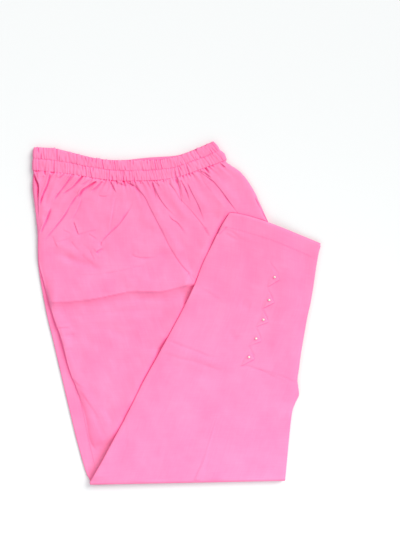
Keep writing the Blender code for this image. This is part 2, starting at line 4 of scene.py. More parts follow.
import bmesh
import bpy
import numpy as np
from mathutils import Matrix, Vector


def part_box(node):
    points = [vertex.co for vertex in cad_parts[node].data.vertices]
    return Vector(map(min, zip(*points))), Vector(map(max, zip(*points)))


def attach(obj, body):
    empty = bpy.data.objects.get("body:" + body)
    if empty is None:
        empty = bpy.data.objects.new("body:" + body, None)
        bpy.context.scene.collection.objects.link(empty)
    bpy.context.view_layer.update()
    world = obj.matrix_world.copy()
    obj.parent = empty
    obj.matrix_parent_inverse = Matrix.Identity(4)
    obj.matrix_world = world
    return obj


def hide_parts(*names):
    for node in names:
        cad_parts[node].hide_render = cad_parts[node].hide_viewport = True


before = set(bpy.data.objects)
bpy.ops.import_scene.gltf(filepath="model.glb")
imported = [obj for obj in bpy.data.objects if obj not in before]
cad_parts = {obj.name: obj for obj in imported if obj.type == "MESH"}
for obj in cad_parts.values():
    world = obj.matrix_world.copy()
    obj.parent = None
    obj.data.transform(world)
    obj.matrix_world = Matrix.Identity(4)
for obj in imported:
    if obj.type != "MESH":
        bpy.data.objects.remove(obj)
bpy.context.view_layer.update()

# Sizes that the solids have too, in metres
FOLD_AXIS_Z = 0.0066
LOWER_LEG_RADII = (0.0036, 0.0066)
UPPER_LEG_RADII = (0.00015, 0.0033)
SINK_DEPTH = 0.0060
SINK_REACH = 0.045
SINK_START = 0.001
INSIDE_EXTRA_SINK = 0.0004
HEM_BOW = 0.006
BAND_LENGTH = 0.3140
HEM_TURNING = 0.025
BAND_MIDDLE_Z = 0.0043
BAND_SLIT = 0.00025
BAND_WALL = 0.0036
BAND_BACK_RISE = 0.0046
BAND_HEIGHT = 0.0346

# A pearl is smaller than its solid, and lies this far from the solid's middle
PEARL_DIAMETER = 0.0040
PEARL_SHIFT = (-0.0009, 0.0003, -0.0033)

# Height of the weave's pattern on the waistband
BAND_WEAVE_HEIGHT = 0.033

# A row is a line across a leg: both ends, the side seam's place between them, share of the waist's or hem's
# curve. Columns: left_x, left_y, right_x, right_y, seam, bow
UPPER_LEG_BODY = np.array((
    (-0.2226, 0.2222, 0.0766, 0.2372, 0.435, 1.00),
    (-0.2238, 0.2060, 0.1000, 0.2200, 0.405, 0.86),
    (-0.2233, 0.1900, 0.1178, 0.1960, 0.375, 0.70),
    (-0.2200, 0.1600, 0.1360, 0.1600, 0.338, 0.42),
    (-0.2163, 0.1270, 0.1490, 0.1270, 0.316, 0.20),
    (-0.2150, 0.0840, 0.1590, 0.0880, 0.312, 0.06),
    (-0.2076, 0.0515, 0.1660, 0.0520, 0.316, 0.00),
    (-0.1925, -0.0030, 0.1725, 0.0000, 0.327, 0.00),
    (-0.1800, -0.0380, 0.1740, -0.0400, 0.338, 0.00),
    (-0.1670, -0.0870, 0.1740, -0.0900, 0.355, 0.00),
    (-0.1500, -0.1350, 0.1730, -0.1350, 0.385, 0.00),
    (-0.1365, -0.1980, 0.1715, -0.1950, 0.437, 0.00),
    (-0.1248, -0.2460, 0.1700, -0.2430, 0.485, 0.00),
    (-0.1225, -0.2605, 0.1675, -0.2546, 0.500, 0.00),
))
LOWER_LEG_BODY = np.array((
    (-0.2230, 0.2222, 0.0756, 0.2368, 0.435, 1.00),
    (-0.2243, 0.2060, 0.0985, 0.2190, 0.410, 0.86),
    (-0.2240, 0.1900, 0.1160, 0.1950, 0.390, 0.70),
    (-0.2197, 0.1600, 0.1340, 0.1590, 0.370, 0.42),
    (-0.2165, 0.1270, 0.1470, 0.1260, 0.360, 0.20),
    (-0.2160, 0.0840, 0.1570, 0.0870, 0.365, 0.06),
    (-0.2120, 0.0515, 0.1640, 0.0515, 0.375, 0.00),
    (-0.2022, -0.0010, 0.1705, 0.0000, 0.390, 0.00),
    (-0.1928, -0.0400, 0.1720, -0.0400, 0.405, 0.00),
    (-0.1815, -0.0880, 0.1722, -0.0900, 0.425, 0.00),
    (-0.1705, -0.1350, 0.1720, -0.1350, 0.450, 0.00),
    (-0.1552, -0.1980, 0.1710, -0.1950, 0.490, 0.00),
    (-0.1415, -0.2460, 0.1698, -0.2430, 0.535, 0.00),
    (-0.1342, -0.2608, 0.1690, -0.2546, 0.553, 0.00),
))
LOWER_LEG_TURNED_UP = np.array((
    (-0.1342, -0.2608, 0.1690, -0.2546, 0.553, 0.00),
    (-0.1170, -0.2310, 0.1715, -0.2285, 0.560, 0.00),
    (-0.1003, -0.1998, 0.1750, -0.1910, 0.564, 0.00),
    (-0.0803, -0.1621, 0.1794, -0.1537, 0.566, 0.00),
    (-0.0690, -0.1400, 0.1841, -0.1396, 0.567, 0.00),
    (-0.0620, -0.1256, 0.1903, -0.1256, 0.564, 0.00),
    (-0.0524, -0.1064, 0.1880, -0.1037, 0.584, 0.00),
    (-0.0400, -0.0840, 0.1908, -0.0819, 0.594, 0.00),
    (-0.0246, -0.0566, 0.1938, -0.0596, 0.606, 0.00),
    (0.0070, 0.0023, 0.2030, -0.0081, 0.636, 0.00),
    (0.0273, 0.0437, 0.2085, 0.0160, 0.620, 0.00),
    (0.0406, 0.0783, 0.2130, 0.0420, 0.592, 0.10),
    (0.0569, 0.1111, 0.2168, 0.0680, 0.556, 0.40),
    (0.0665, 0.1310, 0.2195, 0.0850, 0.515, 0.75),
    (0.0815, 0.1560, 0.2242, 0.1090, 0.452, 1.00),
))
UPPER_LEG_TURNED_UP = np.array((
    (-0.1225, -0.2605, 0.1675, -0.2546, 0.500, 0.00),
    (-0.0980, -0.2120, 0.1710, -0.2085, 0.500, 0.00),
    (-0.0775, -0.1621, 0.1775, -0.1537, 0.500, 0.00),
    (-0.0500, -0.1064, 0.1850, -0.1037, 0.500, 0.00),
    (-0.0220, -0.0566, 0.1910, -0.0596, 0.500, 0.00),
    (0.0096, 0.0023, 0.2004, -0.0081, 0.500, 0.00),
    (0.0299, 0.0437, 0.2060, 0.0160, 0.500, 0.00),
    (0.0432, 0.0783, 0.2106, 0.0420, 0.500, 0.10),
    (0.0595, 0.1111, 0.2150, 0.0680, 0.500, 0.40),
    (0.0695, 0.1300, 0.2190, 0.0850, 0.500, 0.75),
    (0.0835, 0.1530, 0.2246, 0.1052, 0.500, 1.00),
))
LEFT_X, LEFT_Y, RIGHT_X, RIGHT_Y, SEAM, BOW = range(6)

# The waistband at even steps along it. Columns: seam_x, seam_y, top_x, top_y
WAISTBAND = np.array((
    (-0.2203, 0.2226, -0.2192, 0.2588),
    (-0.1877, 0.2195, -0.1890, 0.2570),
    (-0.1550, 0.2154, -0.1562, 0.2490),
    (-0.1224, 0.2098, -0.1232, 0.2414),
    (-0.0898, 0.2066, -0.0908, 0.2386),
    (-0.0571, 0.2066, -0.0586, 0.2390),
    (-0.0245, 0.2080, -0.0272, 0.2398),
    (0.0081, 0.2140, 0.0018, 0.2450),
    (0.0408, 0.2254, 0.0300, 0.2562),
    (0.0734, 0.2372, 0.0575, 0.2682),
))

# How far the waistband's ends swell out, beside their thickness, at places from the seam up
RIGHT_CAP = ((0.0, 0.05, 0.26, 0.37, 0.55, 0.72, 0.85, 1.0), (1.04, 1.38, 1.58, 1.38, 0.62, 0.67, 0.54, 0.22))
LEFT_CAP = ((0.0, 0.06, 0.25, 0.42, 0.52, 0.62, 0.85, 1.0), (0.75, 1.0, 1.06, 1.0, 0.90, 1.0, 1.0, 0.60))

# Sharp creases of the body's face, in millimetres: the points they run through, depth, width of the trough,
# the side, going from the first point to the last, on which the cloth stands high (1 left, -1 right), and
# how many widths the slope on the other side takes
BODY_CREASES = (
    (((-85, 207), (-76, 203), (-66, 199), (-57, 190), (-48, 178), (-40, 161)), 1.5, 0.9, 1, 2.0),
    (((-75, 205), (-68, 203), (-60, 195)), 1.3, 0.9, 1, 1.8),
    (((-52, 184), (-40, 161), (-24, 130), (-11, 104), (4, 80), (16, 66), (32, 52), (54, 33), (70, 19)),
     1.15, 0.9, 1, 1.8),
    (((17, 64), (21, 58), (26, 47), (31, 33)), 0.9, 0.8, 1, 2.0),
    (((-57, 207), (-55, 201)), 1.4, 0.9, 1, 1.6),
    (((-38, 206), (-36, 199), (-30, 185), (-22, 172), (-12, 160), (1, 149)), 1.3, 0.85, 1, 1.9),
    (((-38, 204), (-34, 190), (-32, 178)), 0.9, 0.9, 1, 1.9),
    (((-32, 204), (-26, 197)), 0.9, 0.9, 1, 1.9),
    (((-24, 204), (-16, 208)), 1.2, 1.0, 1, 1.9),
    (((-13, 155), (-8, 147), (1, 141), (8, 132), (17, 119)), 1.0, 0.85, 1, 2.0),
    (((-14, 205), (-4, 193), (5, 178), (10, 172)), 0.8, 0.9, 1, 2.0),
    (((9, 174), (12, 171), (25, 157), (40, 138), (55, 115), (72, 94)), 0.6, 0.7, 1, 2.4),
    (((-4, 212), (3, 200), (7, 178), (10, 173)), 1.2, 0.8, 1, 2.0),
    (((5, 206), (7, 190), (11, 172)), 0.8, 0.7, 1, 1.8),
    (((1, 212), (2, 204)), 1.6, 1.0, 1, 1.6),
    (((6, 208), (8, 204), (15, 191), (21, 172)), 2.0, 0.8, 1, 1.7),
    (((16, 204), (25, 185), (35, 165), (45, 136)), 1.1, 0.65, 1, 1.8),
    (((30, 224), (33, 222), (45, 214), (56, 206), (60, 202), (72, 187), (91, 161), (108, 140), (124, 120)),
     1.4, 0.65, 1, 1.7),
    (((36, 222), (46, 217), (55, 209)), 1.8, 0.8, 1, 1.7),
    (((44, 229), (48, 222), (52, 215)), 1.8, 0.8, 1, 1.6),
    (((35, 218), (46, 199), (60, 183)), 0.5, 1.2, 1, 2.4),
    (((62, 238), (70, 232), (77, 226)), 2.4, 0.85, 1, 1.8),
    (((-81, 203), (-73, 202.5), (-65, 197), (-58, 190)), 1.0, 0.8, 1, 1.8),
    (((76, 233), (86, 229), (99, 221), (113, 204)), 0.9, 1.1, 1, 2.2),
    (((121, 182), (127, 170), (134, 157), (142, 142), (148, 130)), 1.3, 0.8, 1, 1.8),
    (((-221, 219), (-219, 210), (-215, 201), (-214.5, 192), (-215, 182), (-215, 170)), 4.6, 0.7, 1, 1.3),
    (((-214.5, 196), (-215, 176), (-215, 160), (-216, 145)), 1.4, 0.6, 1, 1.4),
    (((-196, 220), (-199, 207), (-202, 198), (-207, 187), (-211, 175), (-213, 166)), 4.4, 0.75, -1, 1.4),
    (((-206, 222), (-203, 213)), 2.2, 0.9, -1, 1.6),
    (((-196, 222), (-193, 216)), 2.2, 1.1, -1, 1.6),
    (((-175, 217), (-184, 209)), 1.5, 0.9, -1, 1.6),
    (((-161, 219), (-167, 209), (-174, 199), (-187, 182), (-191, 174)), 2.2, 0.6, -1, 1.5),
    (((-195, 165), (-200, 152), (-203, 144), (-209, 130), (-211, 124)), 2.4, 0.8, -1, 1.8),
    (((-143, 217), (-146, 214), (-153, 206), (-162, 196), (-171, 190), (-181, 183)), 3.0, 0.8, -1, 1.6),
    (((-124, 206), (-129, 203), (-140, 196), (-147, 191), (-151, 184), (-156, 179)), 4.0, 0.9, -1, 1.6),
    (((-152, 186), (-158, 179), (-166, 167), (-174, 153), (-188, 135), (-202, 118), (-208, 111)),
     1.8, 0.65, -1, 1.7),
    (((-115, 206), (-119, 202), (-126, 195), (-135, 188)), 1.9, 0.9, -1, 2.0),
    (((-147, 179), (-153, 163), (-159, 152), (-166, 141)), 1.1, 0.8, -1, 1.8),
    (((-131, 210), (-140, 204), (-148, 199)), 1.6, 0.8, -1, 1.8),
    (((-95, 184), (-98, 163), (-102, 139), (-104, 127)), 0.7, 1.1, -1, 1.8),
    (((-121, 183), (-110, 182), (-103, 186)), 0.8, 0.9, 1, 2.6),
    (((-103, 206), (-101, 202), (-97, 194), (-94, 187)), 1.9, 0.7, 1, 1.7),
    (((-95, 209), (-93, 205), (-91, 200)), 2.8, 1.1, 1, 1.8),
    (((-90, 205), (-88, 202), (-79, 199), (-70, 203)), 2.0, 1.0, 1, 1.8),
    (((-84, 206), (-80, 200)), 1.6, 1.0, 1, 1.8),
    (((-118, 111), (-113, 116), (-102, 127), (-93, 135), (-84, 146), (-74, 161), (-66, 176)),
     1.7, 0.7, -1, 1.8),
    (((-125, 95), (-114, 102)), 2.0, 1.0, 1, 2.4),
    (((-160, 143), (-156, 131), (-152, 121)), 1.3, 0.8, 1, 1.8),
    (((-117, 112), (-118, 105)), 1.0, 0.9, 1, 2.0),
    (((-193, 121), (-189, 110), (-184, 101)), 0.6, 1.0, 1, 2.0),
    (((-154, 122), (-138, 127), (-119, 131)), 0.8, 1.0, 1, 2.2),
    (((-177, 130), (-164, 124)), 0.5, 1.1, 1, 2.0),
    (((-137, 124), (-123, 115)), 0.6, 1.0, 1, 2.0),
    (((-186, 110), (-163, 118)), 0.7, 1.6, 1, 2.2),
    (((-164, 112), (-158, 104), (-150, 97)), 0.7, 1.3, 1, 2.0),
    (((-148, 92), (-139, 83), (-127, 75)), 0.6, 2.2, 1, 1.8),
    (((-135, 98), (-131, 90), (-127, 81)), 0.65, 1.0, 1, 2.0),
    (((-147, 110), (-132, 96), (-119, 84)), 0.35, 2.0, 1, 1.8),
    (((-71, 93), (-63, 88), (-48, 86), (-26, 87)), 1.1, 1.3, 1, 3.0),
    (((-155, 58), (-115, 62), (-87, 66), (-62, 72), (-38, 77)), 0.8, 1.6, 1, 3.0),
    (((-184, -8), (-146, -3), (-115, 0), (-76, 3), (-50, 5), (4, 7)), 0.5, 1.8, -1, 2.4),
    (((-188, -23), (-164, -22)), 1.0, 1.1, 1, 2.4),
    (((-180, -36), (-152, -31)), 0.7, 2.2, 1, 2.0),
    (((-181, -57), (-160, -55)), 0.5, 1.8, 1, 2.0),
    (((-163, -99), (-154, -110), (-142, -115)), 0.7, 0.9, 1, 2.0),
    (((-150, -120), (-138, -138), (-119, -166)), 0.45, 1.2, 1, 2.4),
)
# Soft folds of the body's face, in millimetres: the points they run through, height and half width
BODY_FOLDS = (
    (((-50, 200), (-34, 165), (-14, 128), (8, 92)), 0.8, 6.0),
    (((-62, 190), (-50, 160), (-36, 130)), 0.5, 9.0),
    (((-20, 205), (-6, 180), (10, 158), (26, 138)), 0.7, 6.5),
    (((18, 206), (34, 180), (52, 158)), 0.7, 6.0),
    (((56, 214), (78, 190), (100, 168)), 0.8, 7.0),
    (((100, 214), (116, 190), (128, 160)), 0.5, 8.0),
    (((-206, 200), (-207, 175), (-208, 150), (-206, 120)), 0.9, 4.0),
    (((-186, 208), (-200, 172), (-205, 150)), 0.8, 4.0),
    (((-150, 212), (-170, 186), (-192, 158)), 0.8, 5.5),
    (((-136, 204), (-156, 184), (-178, 158)), 0.6, 5.0),
    (((-110, 200), (-132, 178), (-150, 158)), 0.5, 7.0),
    (((-72, 176), (-92, 152), (-110, 130)), 0.6, 6.0),
    (((-198, 97), (-174, 88), (-150, 79), (-127, 72), (-116, 66)), -1.2, 6.0),
    (((-192, 112), (-172, 101), (-150, 92)), 0.7, 6.0),
    (((-71, 93), (-50, 87), (-24, 91), (0, 98)), -0.7, 6.0),
    (((-70, 106), (-40, 102), (-10, 108)), 0.5, 8.0),
    (((-190, 60), (-150, 52), (-100, 52), (-50, 56), (0, 62)), 0.6, 12.0),
    (((-185, 4), (-140, 7), (-90, 12), (-40, 16), (0, 18)), 0.6, 7.0),
    (((-170, -16), (-120, -11), (-60, -8), (-10, -4)), 0.6, 7.0),
    (((-110, -24), (-80, -34), (-58, -28)), -0.7, 8.0),
    (((-176, -34), (-158, -32)), -0.4, 5.0),
    (((-150, -70), (-120, -60), (-80, -62), (-40, -50)), 0.5, 14.0),
    (((-134, -146), (-121, -172), (-112, -196)), -0.35, 4.0),
    (((-124, -146), (-111, -166), (-103, -182)), 0.35, 4.0),
    (((-113, -148), (-104, -160), (-97, -172)), -0.3, 3.5),
)
# Ledges of the body's face, in millimetres: points, height, sharp share, fall on the low side, width behind,
# and the side that stands high
BODY_LEDGES = (
    (((-206, 17), (-190, 17), (-167, 18), (-138, 21), (-115, 25), (-91, 30), (-71, 34), (-44, 34), (-24, 34),
      (2, 40), (30, 48)), 7.2, 0.22, 15.0, 32.0, 1),
)
# The same for the turned-up part's face: sharp creases, then soft folds
TURNED_UP_CREASES = (
    (((-17, -39), (5, -48), (32, -58), (52, -66), (76, -69)), 0.6, 1.1, 1, 2.2),
    (((-24, -60), (5, -69), (32, -75), (57, -84), (86, -93)), 0.7, 2.2, 1, 2.2),
    (((98, -83), (107, -80), (133, -88), (161, -96), (188, -107), (220, -120)), 0.6, 1.0, 1, 2.4),
    (((126, -85), (150, -97), (176, -109)), 0.6, 2.0, 1, 2.0),
    (((34, 41), (55, 30), (74, 16)), 0.4, 1.6, 1, 2.4),
    (((78, 134), (75.8, 132.8), (69.3, 126.5), (65.1, 123.1), (62, 120)), 1.5, 0.9, -1, 1.6),
    (((76, 125), (86, 119), (97, 114)), 0.8, 1.4, 1, 2.2),
    (((74, 131), (88, 126), (100, 114)), 0.6, 1.3, 1, 2.2),
    (((192, 60), (214, 62)), 0.5, 1.6, -1, 2.4),
    (((-78, -160), (-78, -212)), 0.3, 2.0, 1, 2.0),
    (((168, -138), (190, -124)), 0.6, 2.2, 1, 2.2),
    (((144, 81), (152, 71), (160, 60)), 0.45, 0.6, 1, 1.4),
    (((141, 39), (146, 31), (151, 22)), 0.45, 0.6, 1, 1.4),
    (((134, 7), (139, -2), (143, -12)), 0.45, 0.6, 1, 1.4),
    (((123, -21), (128, -30), (132, -40)), 0.45, 0.6, 1, 1.4),
    (((113, -51), (118, -60), (122, -68)), 0.45, 0.6, 1, 1.4),
)
TURNED_UP_FOLDS = (
    (((-14, -50), (20, -62), (60, -76), (96, -86)), 0.4, 5.0),
    (((-20, -76), (20, -88), (60, -100)), -0.4, 8.0),
    (((98, 16), (115, 9)), -0.5, 7.0),
    (((78, -26), (94, -41)), -0.5, 6.0),
    (((150, -60), (158, -20), (168, 30)), 0.5, 10.0),
    (((100, 100), (92, 50), (70, 0)), 0.45, 12.0),
    (((30, -30), (60, 20), (90, 60)), -0.4, 14.0),
    (((60, -120), (30, -180), (10, -240)), -0.4, 12.0),
    (((110, -130), (100, -190), (90, -245)), 0.45, 16.0),
    (((-30, -130), (-60, -190), (-90, -240)), 0.4, 14.0),
    (((90, 128), (104, 120), (118, 116)), 0.4, 4.0),
)

# The gap beside the turned-up part's left edge. Columns: y, how open it is, how wide
EDGE_GAP_Y, EDGE_GAP_SHARE, EDGE_GAP_WIDTH = np.array((
    (-0.268, 0.30, 0.010), (-0.246, 0.60, 0.018), (-0.235, 1.00, 0.022), (-0.205, 1.00, 0.018),
    (-0.195, 0.60, 0.009), (-0.185, 0.30, 0.004), (-0.175, 0.15, 0.003), (-0.150, 0.10, 0.003),
    (-0.136, 0.00, 0.003), (-0.122, 0.00, 0.003), (-0.110, 0.10, 0.003), (-0.073, 0.15, 0.003),
    (-0.063, 0.40, 0.0035), (-0.055, 0.80, 0.004), (-0.048, 0.60, 0.004), (-0.041, 0.30, 0.0035),
    (-0.036, 0.02, 0.003), (0.012, 0.05, 0.003), (0.018, 0.45, 0.004), (0.024, 0.80, 0.006),
    (0.032, 1.00, 0.008), (0.040, 0.80, 0.006), (0.046, 0.00, 0.003), (0.096, 0.05, 0.003),
    (0.110, 0.30, 0.004), (0.150, 0.35, 0.004), (0.160, 0.00, 0.003),
)).T

# How far gathers lean sideways as they run down. Columns: x where one starts, lean
GATHER_LEANS = np.array((
    (-0.220, 0.10), (-0.205, -0.35), (-0.182, -0.75), (-0.161, -1.0), (-0.127, -0.9), (-0.107, -0.3),
    (-0.096, 0.0), (-0.080, 0.45), (-0.041, 0.5), (0.002, 0.3), (0.021, 0.5), (0.044, 0.8), (0.071, 1.1),
)).T
# Lengths that gathers fade over and the chance of each, how far from the waist any is looked for, and depth
GATHER_LENGTHS = (0.003, 0.006, 0.011, 0.018)
GATHER_CHANCES = (0.25, 0.35, 0.25, 0.15)
GATHER_REACH = 0.055
GATHER_DEPTH = 0.0022
# Puckers of the waistband: share of strong ones, and depth of a strong one
STRONG_SHARE = 0.22
PUCKER_DEPTH = 0.0010

# Tabs. Columns: upper corner on the side seam, free corner, lower corner on the side seam
TABS = np.array((
    ((0.1459, 0.0780), (0.1604, 0.0532), (0.1393, 0.0376)),
    ((0.1426, 0.0363), (0.1522, 0.0176), (0.1338, 0.0062)),
    ((0.1360, 0.0051), (0.1428, -0.0125), (0.1197, -0.0239)),
    ((0.1256, -0.0243), (0.1319, -0.0424), (0.1092, -0.0534)),
    ((0.1140, -0.0544), (0.1211, -0.0699), (0.0977, -0.0838)),
))
# How far a tab reaches out, how far it goes on under the panel, how much of the way to its corner it keeps,
# its thickness, what its folded low edge adds, the lift of its corner, its rounded rim, and how deep it sits
TAB_REACH = 0.017
TAB_TUCK = 0.0025
TAB_POINT = 0.97
TAB_THICKNESS = 0.0007
TAB_LOW_EDGE = 0.0005
TAB_LIFT = 0.0004
TAB_RIM = 0.0009
TAB_SEAT = 0.0003

# Spacing of the lines across a leg: distances from the start of a stretch, and the spacing there
FINE_BODY = ((0.0, 0.05, 0.12, 0.20, 0.5), (0.0008, 0.0009, 0.0012, 0.0015, 0.0026))
COARSE_BODY = ((0.0, 0.02, 0.5), (0.003, 0.008, 0.008))
FINE_TURNED_UP = ((0.0, 0.05, 0.38, 0.40, 0.5), (0.0022, 0.0019, 0.0018, 0.0010, 0.0008))
COARSE_TURNED_UP = ((0.0, 0.35, 0.45), (0.009, 0.006, 0.002))
# Columns of points across each panel's face and back, and round its crease edge
FACE_COLUMNS = {"left_leg_front": 150, "left_leg_back": 210, "right_leg_front": 110, "right_leg_back": 100}
BACK_COLUMNS = {"left_leg": 14, "right_leg": 20}
NOSE_COLUMNS = 9
# Share of the upper leg's columns that lies where it shows, and how far under the turned-up part that reaches
SEEN_COLUMNS = 0.82
SEEN_MARGIN = 0.012
# Form of the knee fold: how blunt it is, and how far it reaches past the crease for its height
FOLD_BLUNTNESS = 0.6
FOLD_REACH = 0.75

# Form of the body's face, in metres. Heights: the fullness below the waist, the swell beside the knee fold,
# and the rise against the turned-up part's edge. Depths: rounded edges, the gap beside the turned-up part,
# the low left edge, and the deepest place of all
WAIST_FULLNESS = 0.0018
KNEE_SWELL = 0.0024
EDGE_RISE = 0.0038
EDGE_ROUNDING = 0.0013
GAP_DEPTH = 0.0029
LOW_EDGE_DEPTH = 0.0025
DEEPEST = 0.0030
# Form of the turned-up part's face: how far its edges roll down, how far the left one lifts where it stands
# open, low down and at a fold, the step of the hem's doubled cloth, and the dip along its stitches
EDGE_DROP = 0.0020
OPEN_LIFT_LOW = 0.0034
OPEN_LIFT_FOLD = 0.0016
HEM_STEP = 0.00018
STITCH_DIP = 0.00010
# How far the hem's cloth is laid back inside, row by row, and its thickness. Rows that run on under the
# waistband: how far in and how deep
HEM_LAID_BACK = (0.004, 0.012, 0.022)
HEM_THICKNESS = 0.0007
WAIST_TUCK = ((0.0045, 0.0020), (0.0024, 0.0012), (0.0010, 0.0004))

# Stitches: length, gap between them, rise, and how deep they sit. Threads: radius, and the reach and drop of
# the loop through a pearl
HEM_STITCH = (0.0024, 0.0009, 0.00025)
HEM_THREAD = 0.0002
BAND_STITCH = (0.0026, 0.0008, 0.0002)
BAND_THREAD = 0.00022
STITCH_SEAT = 0.0001
BEAD_THREAD = 0.00012
THREAD_REACH = 0.0027
THREAD_DROP = 0.0022

# Colours: darker and lighter tone of each cloth, a painted shade of deep pink for folds and hollows, the
# pearls' ivory with a painted pink lustre toward their rims, and the floor
# Painted shade: the deep pink that the cloth is mixed toward where ambient occlusion finds a fold, slit or
# hollow
PAINTED_FOLD_SHADE_PINK = (0.93, 0.090, 0.330)
COTTON_TONES = ((0.815, 0.176, 0.350), (0.835, 0.232, 0.416))
BAND_TONES = ((0.815, 0.180, 0.353), (0.835, 0.224, 0.405))
TAB_TONES = ((0.815, 0.184, 0.358), (0.835, 0.228, 0.410))
THREAD_TONES = ((0.86, 0.215, 0.385), (0.88, 0.260, 0.440))
# Pearls: ivory where they face the view, and a painted pink lustre toward the rim
PEARL_IVORY_AND_PAINTED_LUSTRE = ((0.64, 0.56, 0.50, 1.0), (0.70, 0.46, 0.52, 1.0))
FLOOR_COLOUR = (0.705, 0.712, 0.707, 1.0)

# The photograph's size, the pixel that the origin lies on, and metres a pixel
PHOTO_WIDTH, PHOTO_HEIGHT = 400, 533
ORIGIN_PIXEL = (176.5, 313.5)
PIXEL = 0.00156

# Millimetres of the crease tables in metres, and the way the cloth's soft unevenness is drawn out
MM = 0.001
DRAWN_X, DRAWN_Y = 0.88, 0.47
# Cells across the random heights before they repeat, and where the origin lies among them
NOISE_CELLS = 64
NOISE_ORIGIN = (31.7, 17.3)
# Distance from the turned-up part's slanting edges for a step straight sideways and straight up
EDGE_SLANT, HEM_SLANT = 0.87, 0.95


def smooth_step(value):
    """Rise smoothly from 0 to 1 as value goes from 0 to 1."""
    t = np.clip(value, 0.0, 1.0)
    return t * t * (3.0 - 2.0 * t)


def bell(distance, width):
    """Fall smoothly from 1 at no distance to about a third at one width."""
    return np.exp(-(distance / width) ** 2)


def quarter_round(share):
    """Profile of a rounded edge: 1 where share is 0 or less, down to 0 where it is 1."""
    return np.sqrt(1.0 - np.clip(share, 0.0, 1.0) ** 2)


def fade_ends(along, start, end):
    """Fade a line in over the first share of its length and out over the last."""
    return smooth_step(along / start) * smooth_step((1.0 - along) / end)


def smoothed(values, count):
    """Moving average over an odd count of values."""
    return np.convolve(np.pad(values, count // 2, mode="edge"), np.ones(count) / count, mode="valid")


def running_length(points):
    """Length of a path, or of each column of a grid, up to each of its points."""
    steps = np.linalg.norm(np.diff(points, axis=0), axis=-1)
    return np.concatenate((np.zeros_like(steps[:1]), np.cumsum(steps, axis=0)))


def along_table(table, place):
    """Read a table at places between its rows, on a smooth curve through all of them."""
    last = len(table) - 1
    place = np.asarray(place, dtype=float)
    index = np.clip(place.astype(int), 0, last - 1)
    t = (place - index)[..., None]
    p0, p1 = table[np.maximum(index - 1, 0)], table[index]
    p2, p3 = table[index + 1], table[np.minimum(index + 2, last)]
    curve = 2.0 * p1 + (p2 - p0) * t
    curve += (2.0 * p0 - 5.0 * p1 + 4.0 * p2 - p3) * t ** 2
    curve += (3.0 * p1 - p0 - 3.0 * p2 + p3) * t ** 3
    return 0.5 * curve


def on_band(share):
    """The waistband's seam and top at shares of its length."""
    return along_table(WAISTBAND, share * (len(WAISTBAND) - 1))


def value_noise(x, y, size, seed):
    """Smooth random heights from -1 to 1, with bumps about size across."""
    count = NOISE_CELLS
    cells = np.random.default_rng(seed).uniform(-1.0, 1.0, (count, count))
    u, v = x / size + NOISE_ORIGIN[0], y / size + NOISE_ORIGIN[1]
    i, j = np.floor(u).astype(int), np.floor(v).astype(int)
    s, t = smooth_step(u - i), smooth_step(v - j)
    i0, i1, j0, j1 = i % count, (i + 1) % count, j % count, (j + 1) % count
    low = cells[i0, j0] * (1 - s) + cells[i1, j0] * s
    high = cells[i0, j1] * (1 - s) + cells[i1, j1] * s
    return low * (1 - t) + high * t


def soft_noise(x, y, lean, rows):
    """Unevenness of flat cloth, drawn out along folds that lean to one side. Rows: height, size, seed."""
    along, aside = DRAWN_X * x + lean * DRAWN_Y * y, DRAWN_X * y - lean * DRAWN_Y * x
    places = ((0.6 * along, aside), (along, 0.7 * aside), (aside, along))
    return sum(height * value_noise(*place, size, seed) for place, (height, size, seed) in zip(places, rows))


def edge_x(table, y, column):
    """X of one edge of a leg where it crosses a given Y."""
    order = np.argsort(table[:, column + 1])
    return np.interp(y, table[order, column + 1], table[order, column])


def edge_closed(y):
    """How closed the turned-up part's left edge lies on the body, from 0 to 1."""
    return 1.0 - np.interp(y, EDGE_GAP_Y, EDGE_GAP_SHARE)


def waist_curve(across):
    """How far the waist seam bends away from a straight line between its ends, in X and Y."""
    here = on_band(across)
    first, last = WAISTBAND[0], WAISTBAND[-1]
    return tuple(here[..., axis] - first[axis] - (last[axis] - first[axis]) * across for axis in (0, 1))


def hem_curve(across):
    """How far the hem bends away from a straight line between its ends."""
    return HEM_BOW * np.sin(math.pi * np.clip(across, 0.0, 1.0) ** 0.65)


def sink(x, y):
    """How far the turned-up part has sunk past the body's right edge."""
    past_edge = x - edge_x(UPPER_LEG_BODY, y, RIGHT_X) - SINK_START
    return SINK_DEPTH * smooth_step(past_edge / SINK_REACH)


def outside_cover(x, y):
    """Distance from a point of the body to the edge of the turned-up part; negative under it."""
    hem = LOWER_LEG_TURNED_UP[-1]
    across = (x - hem[LEFT_X]) / (hem[RIGHT_X] - hem[LEFT_X])
    hem_y = hem[LEFT_Y] + (hem[RIGHT_Y] - hem[LEFT_Y]) * across + hem_curve(across)
    beside = (edge_x(LOWER_LEG_TURNED_UP, y, LEFT_X) - x) * EDGE_SLANT
    return np.maximum(beside, (y - hem_y) * HEM_SLANT)


